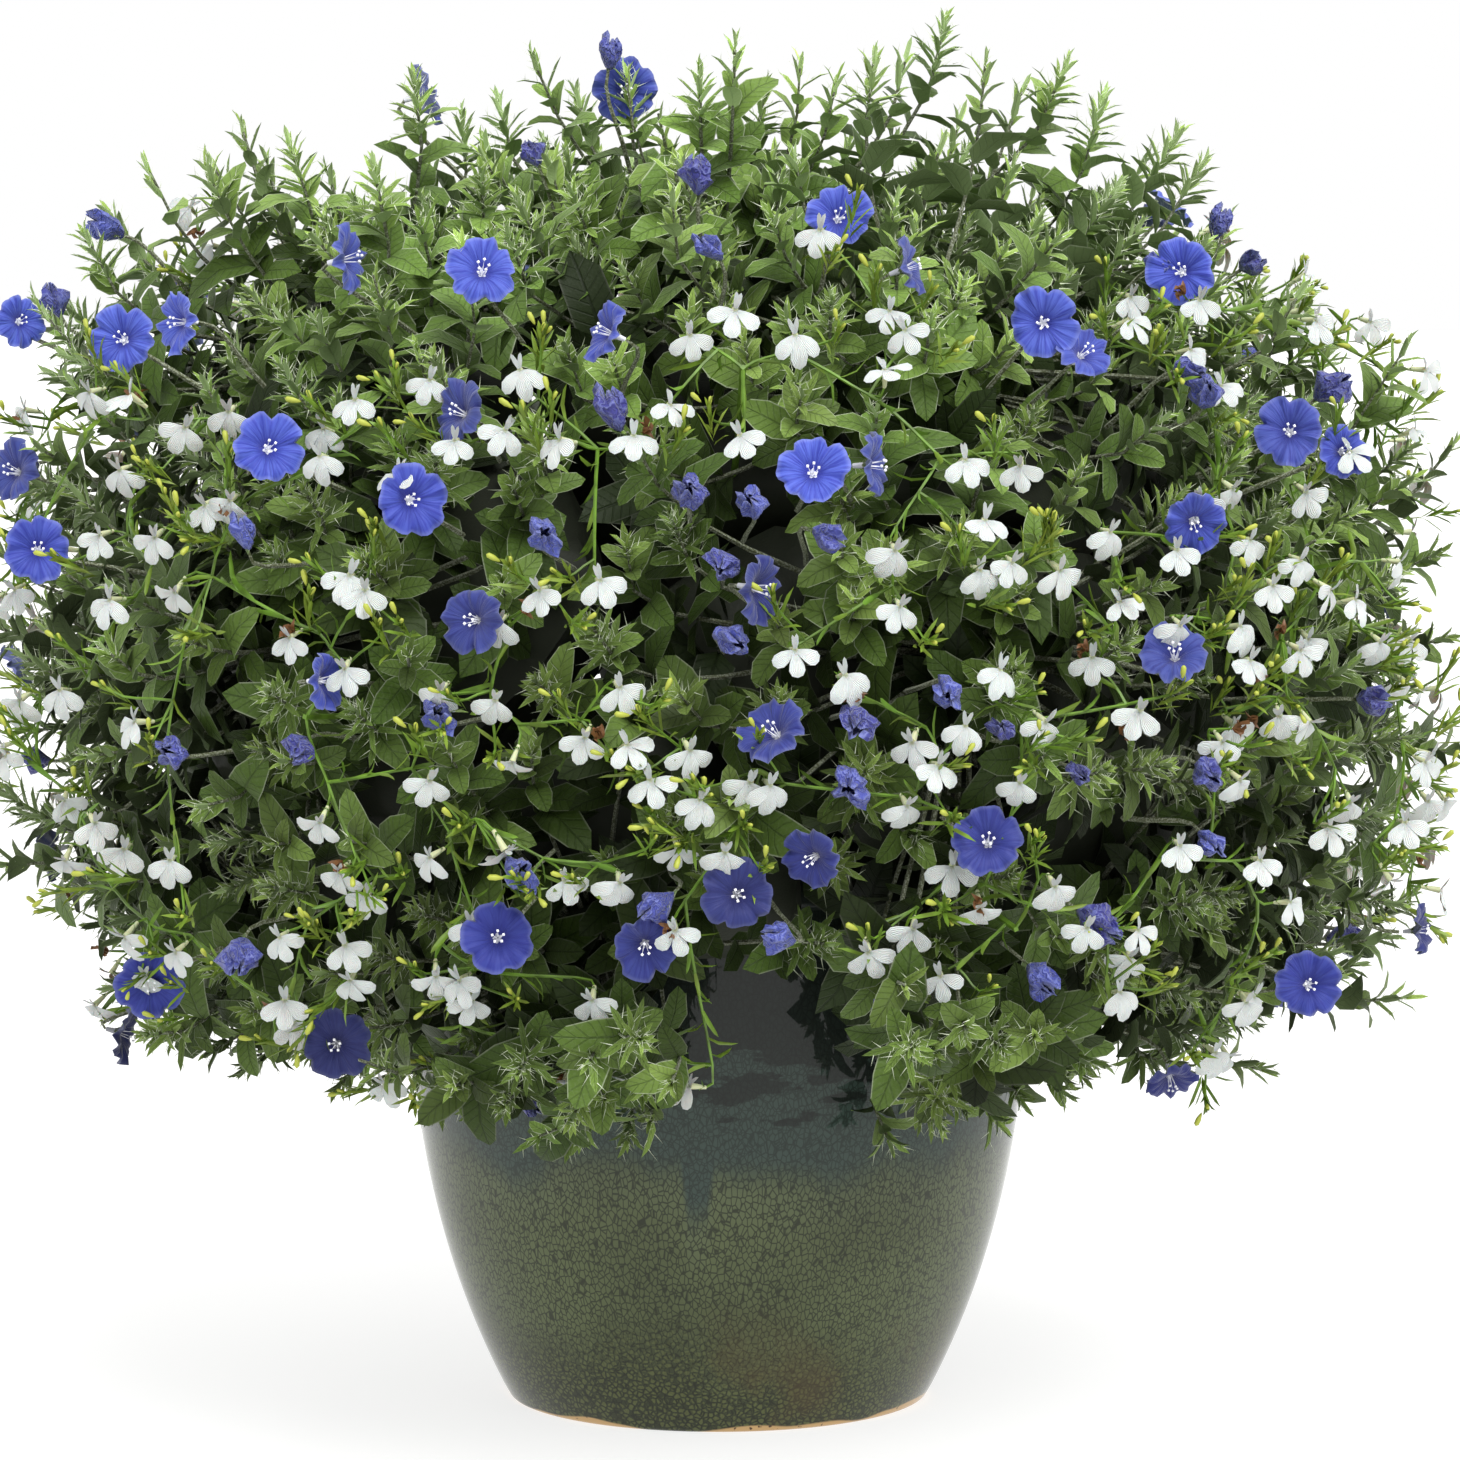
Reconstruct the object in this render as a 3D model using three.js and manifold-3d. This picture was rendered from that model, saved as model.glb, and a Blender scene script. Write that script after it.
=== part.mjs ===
// A dwarf morning glory (evolvulus) in a glazed stoneware pot, planted with white trailing lobelia.
// Millimetres, +Z up. The origin is the middle of the pot's base, and the front of the planting faces -Y.
// The pot holds soil, and the stems stand in holes in the soil. Each evolvulus stem carries one leafy head:
// a rough leafy core with shoots and leaves standing out of it. Blue blooms sit on these heads, and lobelia
// sprays rise between them and open into white flowers at the bush's surface.
import * as THREE from "three";
import { mergeVertices } from "three/addons/utils/BufferGeometryUtils.js";
import Module from "manifold-3d";

const wasm = await Module();
wasm.setup();
const { Manifold } = wasm;

// Pot
const POT_HEIGHT = 232;
const POT_RIM_RADIUS = 132;
const POT_FOOT_RADIUS = 88;
const POT_BELLY = 2.8;
const POT_WALL = 9;
const POT_FLOOR = 13;
const FOOT_CHAMFER = 4;
const LIP_OUT = 4;
const LIP_HEIGHT = 12;
const LIP_ROUNDING = 3;
const DRAIN_RADIUS = 7;
const DRAIN_CIRCLE = 44;
const DRAIN_HOLES = 3;
const POT_SIDES = 30;

// Soil
const SOIL_BELOW_RIM = 22;
const SOIL_CROWN = 9;
const SOIL_SIDES = 16;
const CLOD_HEIGHT = 2.2;
const SOIL_GAP = 1.5;
const SOIL_FOOT_INSET = 5;
const HOLE_DEPTH = 55;
const SEAT_GAP = 0.4;

// The holes that stems stand in are square, with corners far enough out for the gap to run all round
const HOLE_SIDES = 4;
const HOLE_WIDENING = 1.42;

// Bush: an outline that is round across and flatter above and below
const BUSH_CENTRE = new THREE.Vector3(0, 0, 290);
const BUSH_RADIUS = 318;
const BUSH_RISE = 245;
const BUSH_DROP = 178;
const BUSH_POWER = 2.5;

// Room between neighbouring nodes
const CLEARANCE = 0.4;

// Stems
const EVOLVULUS_STEM_RADIUS = 2.8;
const LOBELIA_STEM_RADIUS = 2;
const STEM_STEPS = 6;
const STRAIGHT_RISE = 52;
const EVOLVULUS_STRAIGHT_TIP = 10;
const LOBELIA_STRAIGHT_TIP = 60;
const ROOT_INNER = 14;
const ROOT_SPREAD = 122;
const BEND_OUT = 16;
const STEM_OVER_RIM = 30;
const LOW_STEM_OVER_RIM = 70;

// Leafy heads, in rows from the bush's top down, as [height of the direction they grow in, heads, turn]
const HEAD_ROWS = [[1, 1, 0], [0.66, 3, 0.5], [0.16, 5, 0.1], [-0.4, 6, 0.25]];
const HEAD_TOP = 0.88;
const HEAD_INNER = 0.5;
const HEAD_MIDDLE = 0.72;
const HEAD_DETAIL = 2;
const HEAD_SPACE = 1.2;
const POT_SPACE = 14;
const LEAF_RELIEF = 0.86;
const RELIEF_SPREAD = 0.16;
const TIP_LEAN = 0.3;
const HEAD_LEAF_LEVEL = 0.8;

// The pot's wall shows through a gap in the front of the hanging skirt
const GAP_MIDDLE = 14;
const GAP_HALF_WIDTH = 26;
const GAP_TOP = 200;

// Sprigs and leaves
const BACK_SPRIGS = 8;
const SPRIG_RADIUS = 1.7;
const SPRIG_ROOT = 0.55;

// A sprig's leaves, as [distance below its tip, tilt from its axis, size]
const SPRIG_LEAVES = [[4, 0.5, 0.75], [22, 1.05, 0.9]];
const LEAF_POINTS = 4;
const LEAF_LENGTH = 40;
const LEAF_WIDTH = 22;
const LEAF_THICKNESS = 2.4;
const LEAF_SUNK = 7;
const LEAF_TILT = 0.35;
const LEAF_TILT_SPREAD = 0.6;
const LEAF_LEAST = 0.8;
const LEAF_SPREAD = 0.3;
const LEAF_TWISTS = [0, 0.7, -0.7, 1.6, -1.6];

// Evolvulus blooms, each seated at one of these shares of the way from a head's middle to its surface
const BLOOM_LEVEL = 0.99;
const BLOOM_RADIUS = 14;
const BLOOM_DEPTH = 5;
const BLOOM_THICKNESS = 1.2;
const BLOOM_LOBES = 5;
const NOTCH_SHARE = 0.84;
const LOBE_SHARE = 1.06;
const LOBE_RISE = 0.8;
const SEAT_SHARES = [0.55, 0.4, 0.68];
const PEDUNCLE_RADIUS = 1.5;
const FADED_LENGTH = 14;
const FADED_BELOW_THROAT = 12;

// Lobelia sprays
const SPRAYS = 12;
const BRANCH_RADIUS = 1.2;
const BRANCH_FOOT_RADIUS = 0.4;
const FORK_SHARES = [0.4, 0.72];
const HUB_FORKS = 4;
const FORK_SPACING = 7;
const HUB_LEVEL = 0.96;
const FLOWER_LEVEL = 0.985;
const TURN_TO_EYE = 0.7;
const FLOWER_LIP = 12.5;
const LIP_DROOP = 0.1;
const FLOWER_THICKNESS = 1.6;

// The front view as seen from the eye: squares of VIEW_SQUARE millimetres, counted from its top left corner
const VIEW_SQUARE = 0.42;
const VIEW_MIDDLE = 730;
const VIEW_AIM = new THREE.Vector3(5, 0, 281);
const EYE = new THREE.Vector3(5, -2392, 475);

// Where shoots stand out of the outline in the front view, as [across, down]
const SPRIGS = [
  [18, 300], [66, 306], [112, 216], [182, 140], [243, 132], [292, 150], [415, 84], [535, 64], [622, 44],
  [735, 50], [800, 68], [874, 64], [944, 28], [1064, 70], [1176, 138], [1226, 226], [1404, 350],
  [1452, 446], [1440, 1006], [1262, 1070], [912, 1046], [566, 1130], [340, 1078], [150, 1034],
];

// Open blue blooms in the front view, as [across, down, degrees turned to the right, degrees tipped up]
const FRONT_BLOOMS = [
  [626, 90, 0, 10], [483, 267, 5, 25], [121, 338, -15, 10], [270, 447, 10, 10], [813, 470, 0, 15],
  [1043, 323, 0, 0], [1180, 270, -10, 10], [1290, 430, 0, 10], [765, 590, 60, -10], [770, 728, -35, 30],
  [988, 840, 0, 15], [738, 895, 5, 0], [498, 937, 0, 5], [335, 1045, -5, -5], [1310, 985, 10, 0],
  [1175, 650, 0, 35], [38, 548, 0, 10], [412, 500, 10, 0], [150, 985, 0, -10], [430, 92, 100, 20],
];
const BACK_BLOOMS = 10;

// White lobelia flowers in the front view, as [across, down]
const FRONT_FLOWERS = [
  [690, 335], [795, 335], [905, 330], [740, 435], [965, 460], [1200, 300], [1305, 275], [1370, 322],
  [1350, 452], [190, 207], [90, 392], [185, 427], [355, 400], [430, 380], [520, 370], [400, 475],
  [455, 440], [560, 440], [320, 456], [100, 535], [155, 537], [15, 590], [230, 500], [365, 590],
  [290, 637], [540, 590], [600, 580], [60, 690], [135, 722], [175, 592], [440, 690], [495, 700],
  [585, 737], [627, 745], [690, 750], [750, 782], [620, 687], [795, 650], [845, 675], [900, 606],
  [912, 742], [985, 520], [1012, 562], [1110, 532], [1200, 500], [1000, 670], [1045, 722], [1140, 710],
  [1120, 602], [1240, 626], [1300, 650], [1330, 590], [1400, 562], [1250, 540], [1310, 722], [1380, 642],
  [1222, 742], [1350, 802], [1330, 827], [1405, 822], [1180, 845], [1055, 886], [980, 908], [1138, 930],
  [1246, 1002], [1120, 992], [1290, 902], [868, 952], [940, 976], [675, 930], [620, 882], [725, 852],
  [592, 1000], [566, 1080], [690, 1086], [95, 822], [170, 860], [320, 822], [340, 872], [430, 857],
  [125, 937], [176, 952], [280, 937], [350, 980], [436, 976], [472, 1000], [385, 1084], [460, 1087],
  [430, 780], [512, 762], [1425, 762], [1215, 1052],
];
const BACK_FLOWERS = 36;

// Steps of the grid that a body's points are moved to, and lifts that clear faces that all but touch
const GRID_STEPS = [0.004, 0.006, 0.01];
const LIFTS = [0, 0.013, 0.029, 0.047, 0.071];

const GOLDEN_ANGLE = Math.PI * (3 - Math.sqrt(5));
const UP = new THREE.Vector3(0, 0, 1);

// Materials
function finish(hex, roughness) {
  return new THREE.MeshStandardMaterial({ color: hex, roughness, metalness: 0 });
}
const GLAZE = finish(0x4b5342, 0.18);
const SOIL = finish(0x3b2a1e, 0.95);
const FOLIAGE = finish(0x4f6b34, 0.7);
const BLUE_PETAL = finish(0x4459c8, 0.6);
const WHITE_PETAL = finish(0xf2f4ee, 0.6);

// A seeded draw: each call of the function it returns gives the next number from 0 to 1.
function drawFrom(seed) {
  let state = (seed * 7919 + 104729) % 2147483647;
  return () => {
    state = (state * 48271) % 2147483647;
    return state / 2147483647;
  };
}

// Solids and their joins
function closed(geometry) {
  const bare = geometry.clone();
  bare.deleteAttribute("normal");
  bare.deleteAttribute("uv");
  const merged = mergeVertices(bare, 1e-3);
  const index = merged.index.array;
  const kept = [];
  for (let i = 0; i < index.length; i += 3) {
    const [a, b, c] = index.slice(i, i + 3);
    if (a !== b && b !== c && c !== a) {
      kept.push(a, b, c);
    }
  }
  return merged.setIndex(kept);
}

function solidOf(geometry) {
  const bare = closed(geometry);
  return new Manifold(
    new wasm.Mesh({
      numProp: 3,
      vertProperties: new Float32Array(bare.attributes.position.array),
      triVerts: new Uint32Array(bare.index.array),
    }),
  );
}

function geometryOf(solid) {
  const mesh = solid.getMesh();
  const geometry = new THREE.BufferGeometry();
  const positions = new Float32Array(mesh.numVert * 3);
  for (let i = 0; i < mesh.numVert; i++) {
    positions.set(mesh.vertProperties.subarray(i * mesh.numProp, i * mesh.numProp + 3), i * 3);
  }
  geometry.setAttribute("position", new THREE.BufferAttribute(positions, 3));
  geometry.setIndex(new THREE.BufferAttribute(new Uint32Array(mesh.triVerts), 1));
  geometry.computeVertexNormals();
  return geometry;
}

// The largest of a solid's separate bodies: a cut can leave a loose scrap of leaf.
function mainBody(solid) {
  return solid.decompose().reduce((best, body) => (body.volume() > best.volume() ? body : best));
}

// Whether each edge of a closed geometry is shared by just two triangles.
function isPlain(geometry) {
  const index = geometry.index.array;
  const seen = new Set();
  for (let i = 0; i < index.length; i++) {
    const edge = `${index[i]},${index[i % 3 === 2 ? i - 2 : i + 1]}`;
    if (seen.has(edge)) {
      return false;
    }
    seen.add(edge);
  }
  return true;
}

// The same body with its points on a fine grid, so that no two lie closer than the grid's step. The first
// step that leaves a plain closed surface is used, and null is returned where none does.
function settled(solid) {
  for (const step of GRID_STEPS) {
    const snap = (point) => point.divideScalar(step).round().multiplyScalar(step);
    const onGrid = moved(geometryOf(solid), snap);
    const body = mainBody(solidOf(onGrid));
    if (isPlain(closed(geometryOf(body)))) {
      return body;
    }
  }
  return null;
}

// Turns and moves a geometry whose own +Y is its length, so that it runs from a place along a direction,
// with its own +Z turned as near as it can be to facing.
function placed(geometry, place, direction, facing) {
  const y = direction.clone().normalize();
  const x = new THREE.Vector3().crossVectors(y, facing);
  if (x.lengthSq() < 1e-6) {
    x.crossVectors(y, new THREE.Vector3(1, 0.3, 0.2));
  }
  x.normalize();
  const z = new THREE.Vector3().crossVectors(x, y);
  return geometry.applyMatrix4(new THREE.Matrix4().makeBasis(x, y, z).setPosition(place));
}

function moved(geometry, change) {
  const position = geometry.attributes.position;
  const point = new THREE.Vector3();
  for (let i = 0; i < position.count; i++) {
    point.fromBufferAttribute(position, i);
    change(point, i);
    position.setXYZ(i, point.x, point.y, point.z);
  }
  return geometry;
}

// The bush's outline
function level(point) {
  const from = point.clone().sub(BUSH_CENTRE);
  const across = Math.hypot(from.x, from.y) / BUSH_RADIUS;
  const along = Math.abs(from.z) / (from.z > 0 ? BUSH_RISE : BUSH_DROP);
  return (across ** BUSH_POWER + along ** BUSH_POWER) ** (1 / BUSH_POWER);
}

function outlinePoint(direction, share) {
  const unit = BUSH_CENTRE.clone().add(direction);
  return BUSH_CENTRE.clone().addScaledVector(direction, share / level(unit));
}

function directionAt(height, angle) {
  const width = Math.sqrt(1 - height * height);
  return new THREE.Vector3(width * Math.cos(angle), width * Math.sin(angle), height);
}

function spiralDirection(index, count, top, bottom, turn) {
  return directionAt(top + ((bottom - top) * (index + 0.5)) / count, index * GOLDEN_ANGLE + turn);
}

// A direction to the back of the bush, the one that the front view doesn't show.
function backDirection(index, count, top, bottom) {
  const turn = Math.PI * (0.03 + 0.94 * ((index * 0.618034) % 1));
  return directionAt(top + ((bottom - top) * (index + 0.5)) / count, turn);
}

// The place on the outline, grown or shrunk to a share, that shows at a square of the front view.
function seenAt(across, down, share) {
  const tilt = Math.atan2(EYE.z - VIEW_AIM.z, VIEW_AIM.y - EYE.y);
  const square = new THREE.Vector3(
    VIEW_AIM.x + (across - VIEW_MIDDLE) * VIEW_SQUARE,
    (VIEW_MIDDLE - down) * VIEW_SQUARE * Math.sin(tilt),
    VIEW_AIM.z + (VIEW_MIDDLE - down) * VIEW_SQUARE * Math.cos(tilt),
  );
  const nearest = new THREE.Vector3();
  let lowest = Infinity;
  for (let step = 180; step >= -60; step--) {
    const point = square.clone().lerp(EYE, step / 1000);
    const here = level(point);
    if (here <= share) {
      return point;
    }
    if (here < lowest) {
      lowest = here;
      nearest.copy(point);
    }
  }
  return nearest;
}

function outwardFrom(point) {
  return point.clone().sub(BUSH_CENTRE).normalize();
}

// Convex shapes by their points and face directions, to keep one node's pieces clear of another's
function shapeOf(geometry) {
  const bare = closed(geometry);
  const position = bare.attributes.position;
  const points = [];
  for (let i = 0; i < position.count; i++) {
    points.push(new THREE.Vector3().fromBufferAttribute(position, i));
  }
  const centre = points.reduce((sum, p) => sum.add(p), new THREE.Vector3()).divideScalar(points.length);
  const radius = Math.max(...points.map((p) => p.distanceTo(centre)));
  const axes = [];
  const index = bare.index.array;
  for (let i = 0; i < index.length; i += 3) {
    const [a, b, c] = [points[index[i]], points[index[i + 1]], points[index[i + 2]]];
    const normal = new THREE.Vector3().crossVectors(b.clone().sub(a), c.clone().sub(a)).normalize();
    if (!axes.some((axis) => Math.abs(axis.dot(normal)) > 0.999)) {
      axes.push(normal);
    }
  }
  return { points, centre, radius, axes };
}

function span(points, axis) {
  let low = Infinity;
  let high = -Infinity;
  for (const p of points) {
    const d = p.dot(axis);
    low = Math.min(low, d);
    high = Math.max(high, d);
  }
  return [low, high];
}

function apart(a, b) {
  const between = b.centre.clone().sub(a.centre);
  if (between.length() > a.radius + b.radius + CLEARANCE) {
    return true;
  }
  const axes = [...a.axes, ...b.axes, between.normalize()];
  for (const first of a.axes.slice(0, 4)) {
    for (const second of b.axes.slice(0, 4)) {
      const cross = new THREE.Vector3().crossVectors(first, second);
      if (cross.lengthSq() > 0.01) {
        axes.push(cross.normalize());
      }
    }
  }
  return axes.some((axis) => {
    const [lowA, highA] = span(a.points, axis);
    const [lowB, highB] = span(b.points, axis);
    return lowB - highA > CLEARANCE || lowA - highB > CLEARANCE;
  });
}

const taken = [];

function takeRoom(owner, ...geometries) {
  for (const geometry of geometries) {
    taken.push({ owner, shape: shapeOf(geometry) });
  }
}

function roomFor(owner, ...geometries) {
  return geometries.map(shapeOf).every((shape) =>
    taken.every((other) => other.owner === owner || apart(shape, other.shape)));
}

// One node in the making: its name, material and the solids to fuse.
class Growth {
  constructor(name, index, material) {
    this.name = `${name}_${String(index + 1).padStart(2, "0")}`;
    this.material = material;
    this.solids = [];
  }

  add(...geometries) {
    takeRoom(this.name, ...geometries);
    this.solids.push(...geometries.map(solidOf));
  }

  addIfRoom(...geometries) {
    const room = roomFor(this.name, ...geometries);
    if (room) {
      this.add(...geometries);
    }
    return room;
  }

  // All of its solids as one. Lifting them by unlike hairbreadths clears faces that all but touch.
  fused() {
    for (const lift of LIFTS) {
      const lifted = this.solids.map((solid, i) => solid.translate([0, 0, (i % 5) * lift]));
      const body = settled(mainBody(Manifold.union(lifted)));
      if (body) {
        return body;
      }
    }
    throw new Error(`${this.name} can't be fused into one plain body`);
  }
}

// A straight rod of three sides, and a stem of four sides along a curve
function polygon(radius, sides) {
  const shape = new THREE.Shape();
  for (let i = 0; i < sides; i++) {
    const angle = (2 * Math.PI * i) / sides;
    shape[i ? "lineTo" : "moveTo"](radius * Math.cos(angle), radius * Math.sin(angle));
  }
  shape.closePath();
  return shape;
}

function rod(from, to, radius, sides = 3) {
  const settings = { steps: 1, depth: from.distanceTo(to), bevelEnabled: false };
  const geometry = new THREE.ExtrudeGeometry(polygon(radius, sides), settings).rotateX(-Math.PI / 2);
  return placed(geometry, from, to.clone().sub(from), UP);
}

function alongCurve(curve, radius) {
  const settings = { steps: STEM_STEPS, extrudePath: curve, bevelEnabled: false };
  return new THREE.ExtrudeGeometry(polygon(radius, 4), settings);
}

// The convex pieces that a stem along a curve lies in
function stretches(curve, radius) {
  const points = curve.getSpacedPoints(STEM_STEPS);
  return points.slice(1).map((point, i) => rod(points[i], point, 2 * radius));
}

// Pot and soil
function wallRadius(height) {
  const rise = 1 - (1 - height / POT_HEIGHT) ** POT_BELLY;
  return POT_FOOT_RADIUS + (POT_RIM_RADIUS - POT_FOOT_RADIUS) * rise;
}

function wallPoint(height, inset) {
  return new THREE.Vector2(wallRadius(height) - inset, height);
}

function uprightLathe(profile, sides) {
  return new THREE.LatheGeometry(profile, sides).rotateX(Math.PI / 2);
}

function potSolid() {
  const lipFoot = POT_HEIGHT - LIP_HEIGHT;
  const lipRadius = POT_RIM_RADIUS + LIP_OUT;
  const profile = [
    new THREE.Vector2(0, 0),
    wallPoint(0, FOOT_CHAMFER),
    ...[0.02, 0.1, 0.22, 0.38, 0.6, 0.8].map((share) => wallPoint(share * POT_HEIGHT, 0)),
    wallPoint(lipFoot, 0),
    new THREE.Vector2(lipRadius, lipFoot + LIP_ROUNDING),
    new THREE.Vector2(lipRadius, POT_HEIGHT - LIP_ROUNDING),
    new THREE.Vector2(lipRadius - LIP_ROUNDING, POT_HEIGHT),
    new THREE.Vector2(POT_RIM_RADIUS - POT_WALL, POT_HEIGHT),
    ...[0.6, 0.3].map((share) => wallPoint(share * POT_HEIGHT, POT_WALL)),
    wallPoint(POT_FLOOR, POT_WALL + SOIL_FOOT_INSET),
    new THREE.Vector2(0, POT_FLOOR),
  ];
  let pot = solidOf(uprightLathe(profile, POT_SIDES));
  for (let i = 0; i < DRAIN_HOLES; i++) {
    const foot = directionAt(0, (2 * Math.PI * (i + 0.5)) / DRAIN_HOLES).multiplyScalar(DRAIN_CIRCLE);
    pot = pot.subtract(solidOf(uprightHole(foot.setZ(-1), POT_FLOOR + 2, DRAIN_RADIUS, 8)));
  }
  return pot;
}

function uprightHole(foot, depth, radius, sides) {
  const hole = new THREE.CylinderGeometry(radius, radius, depth, sides);
  return hole.rotateX(Math.PI / 2).translate(foot.x, foot.y, foot.z + depth / 2);
}

const SOIL_EDGE = POT_HEIGHT - SOIL_BELOW_RIM;
const SOIL_RADIUS = wallRadius(SOIL_EDGE) - POT_WALL - SOIL_GAP;

function soilHeight(radius) {
  return SOIL_EDGE + SOIL_CROWN * (1 - (radius / SOIL_RADIUS) ** 2);
}

function soilPoint(share) {
  return new THREE.Vector2(SOIL_RADIUS * share, soilHeight(SOIL_RADIUS * share));
}

// The soil, lumpy on top, with a plain hole for each stem.
function soilSolid(stems) {
  const draw = drawFrom(5);
  const profile = [
    new THREE.Vector2(0, POT_FLOOR + SEAT_GAP),
    wallPoint(POT_FLOOR + SEAT_GAP, POT_WALL + SOIL_FOOT_INSET + SOIL_GAP),
    ...[0.3, 0.6].map((share) => wallPoint(share * POT_HEIGHT, POT_WALL + SOIL_GAP)),
    ...[1, 0.7, 0.35, 0].map(soilPoint),
  ];
  const lumpy = closed(uprightLathe(profile, SOIL_SIDES));
  moved(lumpy, (point) => {
    if (point.z >= SOIL_EDGE - 0.01) {
      point.z += (2 * draw() - 1) * CLOD_HEIGHT;
    }
  });
  const holes = stems.map(({ foot, radius }) => {
    const start = foot.clone().setZ(foot.z - SEAT_GAP);
    return solidOf(uprightHole(start, HOLE_DEPTH + 20, HOLE_WIDENING * (radius + SEAT_GAP), HOLE_SIDES));
  });
  return solidOf(lumpy).subtract(Manifold.union(holes));
}

// Stems: each stands in its hole in the soil, rises, and bends out to its place in the bush.
function stemTo(target, radius, lastStretch) {
  const out = new THREE.Vector3(target.x, target.y, 0).normalize();
  const lean = Math.acos(outwardFrom(target).z) / Math.PI;
  const foot = out.clone().multiplyScalar(ROOT_INNER + ROOT_SPREAD * lean);
  foot.z = soilHeight(foot.length()) - HOLE_DEPTH;
  const surface = foot.clone().setZ(foot.z + HOLE_DEPTH + STRAIGHT_RISE);
  const overRim = POT_HEIGHT + (target.z < BUSH_CENTRE.z ? LOW_STEM_OVER_RIM : STEM_OVER_RIM);
  const bend = out.clone().multiplyScalar(foot.clone().setZ(0).length() + BEND_OUT);
  bend.z = Math.max(overRim, 0.55 * target.z + 0.45 * surface.z);
  const shoulder = target.clone().addScaledVector(outwardFrom(target), -lastStretch);
  const curve = new THREE.CurvePath();
  curve.add(new THREE.LineCurve3(foot, surface));
  curve.add(new THREE.QuadraticBezierCurve3(surface, bend, shoulder));
  curve.add(new THREE.LineCurve3(shoulder, target));
  return { foot, radius, curve };
}

// Leafy heads: the bush is shared out between the heads' middles, each place going to the nearest one.
const headMiddles = HEAD_ROWS.flatMap(([height, count, turn]) => Array.from({ length: count }, (_, i) => {
  const angle = (2 * Math.PI * (i + turn)) / count;
  return outlinePoint(directionAt(height, angle), HEAD_MIDDLE);
}));

function headsByDistance(point) {
  const order = headMiddles.map((_, i) => i);
  return order.sort((a, b) => headMiddles[a].distanceTo(point) - headMiddles[b].distanceTo(point));
}

function inFrontGap(point) {
  return point.y < 0 && point.z < GAP_TOP && Math.abs(point.x - GAP_MIDDLE) < GAP_HALF_WIDTH;
}

function nearPot(point, space) {
  return point.z < POT_HEIGHT + space && Math.hypot(point.x, point.y) < POT_RIM_RADIUS + LIP_OUT + space;
}

function insideHead(point, head) {
  const here = level(point);
  if (here > HEAD_TOP || here < HEAD_INNER || nearPot(point, POT_SPACE) || inFrontGap(point)) {
    return false;
  }
  const own = headMiddles[head];
  return headMiddles.every((other, i) => {
    const nearer = point.distanceToSquared(other) - point.distanceToSquared(own);
    return i === head || nearer / (2 * other.distanceTo(own)) > HEAD_SPACE;
  });
}

function headReach(direction, head) {
  const step = 2;
  let reach = step;
  while (insideHead(headMiddles[head].clone().addScaledVector(direction, reach), head)) {
    reach += step;
  }
  return reach - step;
}

// The leafy core: a ball stretched to fill its share of the bush, with leaf tips raised all over it.
// Leaf tips have no neighbour that is one too, and the points between them lie deeper.
function leafyCore(head) {
  const draw = drawFrom(100 + head);
  const ball = closed(new THREE.IcosahedronGeometry(1, HEAD_DETAIL));
  const count = ball.attributes.position.count;
  const neighbours = Array.from({ length: count }, () => new Set());
  const index = ball.index.array;
  for (let i = 0; i < index.length; i++) {
    const next = i % 3 === 2 ? i - 2 : i + 1;
    neighbours[index[i]].add(index[next]);
    neighbours[index[next]].add(index[i]);
  }
  const tips = [];
  const isTip = new Array(count).fill(false);
  moved(ball, (point, i) => {
    isTip[i] = ![...neighbours[i]].some((n) => isTip[n]);
    const lean = new THREE.Vector3(draw() - 0.5, draw() - 0.5, draw() - 0.7).multiplyScalar(2 * TIP_LEAN);
    const direction = isTip[i] ? point.clone().add(lean).normalize() : point.clone().normalize();
    const share = isTip[i] ? 1 : LEAF_RELIEF - RELIEF_SPREAD * draw();
    point.copy(headMiddles[head]).addScaledVector(direction, share * headReach(direction, head));
    if (isTip[i] && level(point) > HEAD_LEAF_LEVEL) {
      tips.push(point.clone());
    }
  });
  return { ball, tips };
}

// A leaf runs from its root at the origin along +Y and is arched, with its points round the edge and one
// above and one below.
function leaf(size) {
  const blade = new THREE.SphereGeometry(1, LEAF_POINTS, 2);
  return moved(blade, (point) => {
    const along = (1 - point.x) / 2;
    const side = (-point.z * size * LEAF_WIDTH) / 2;
    const arch = size * LEAF_LENGTH * (0.2 * Math.sin(Math.PI * along) - 0.12 * along);
    point.set(side, along * size * LEAF_LENGTH, (point.y * LEAF_THICKNESS) / 2 + arch);
  });
}

function besideAxis(axis, angle) {
  const across = Math.abs(axis.z) > 0.9 ? new THREE.Vector3(1, 0, 0) : UP;
  return new THREE.Vector3().crossVectors(axis, across).normalize().applyAxisAngle(axis, angle);
}

// Adds a leaf to a head, turned round its axis until it is clear of the other nodes.
function addLeaf(growth, head, root, axis, tilt, turn, size) {
  for (const twist of LEAF_TWISTS) {
    const side = besideAxis(axis, turn + twist);
    const direction = axis.clone().multiplyScalar(Math.cos(tilt)).addScaledVector(side, Math.sin(tilt));
    const start = root.clone().addScaledVector(direction, -LEAF_SUNK);
    const blade = placed(leaf(size), start, direction, axis);
    if (staysWithHead(blade, head) && growth.addIfRoom(blade)) {
      return;
    }
  }
}

// Whether a piece of one head keeps out of the other heads' cores, the pot and the gap in front.
function staysWithHead(geometry, head) {
  return shapeOf(geometry).points.every((point) => {
    const nearest = headsByDistance(point)[0];
    const free = level(point) > HEAD_TOP + 0.02 || nearest === head;
    return free && !nearPot(point, 1) && !inFrontGap(point);
  });
}

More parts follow.
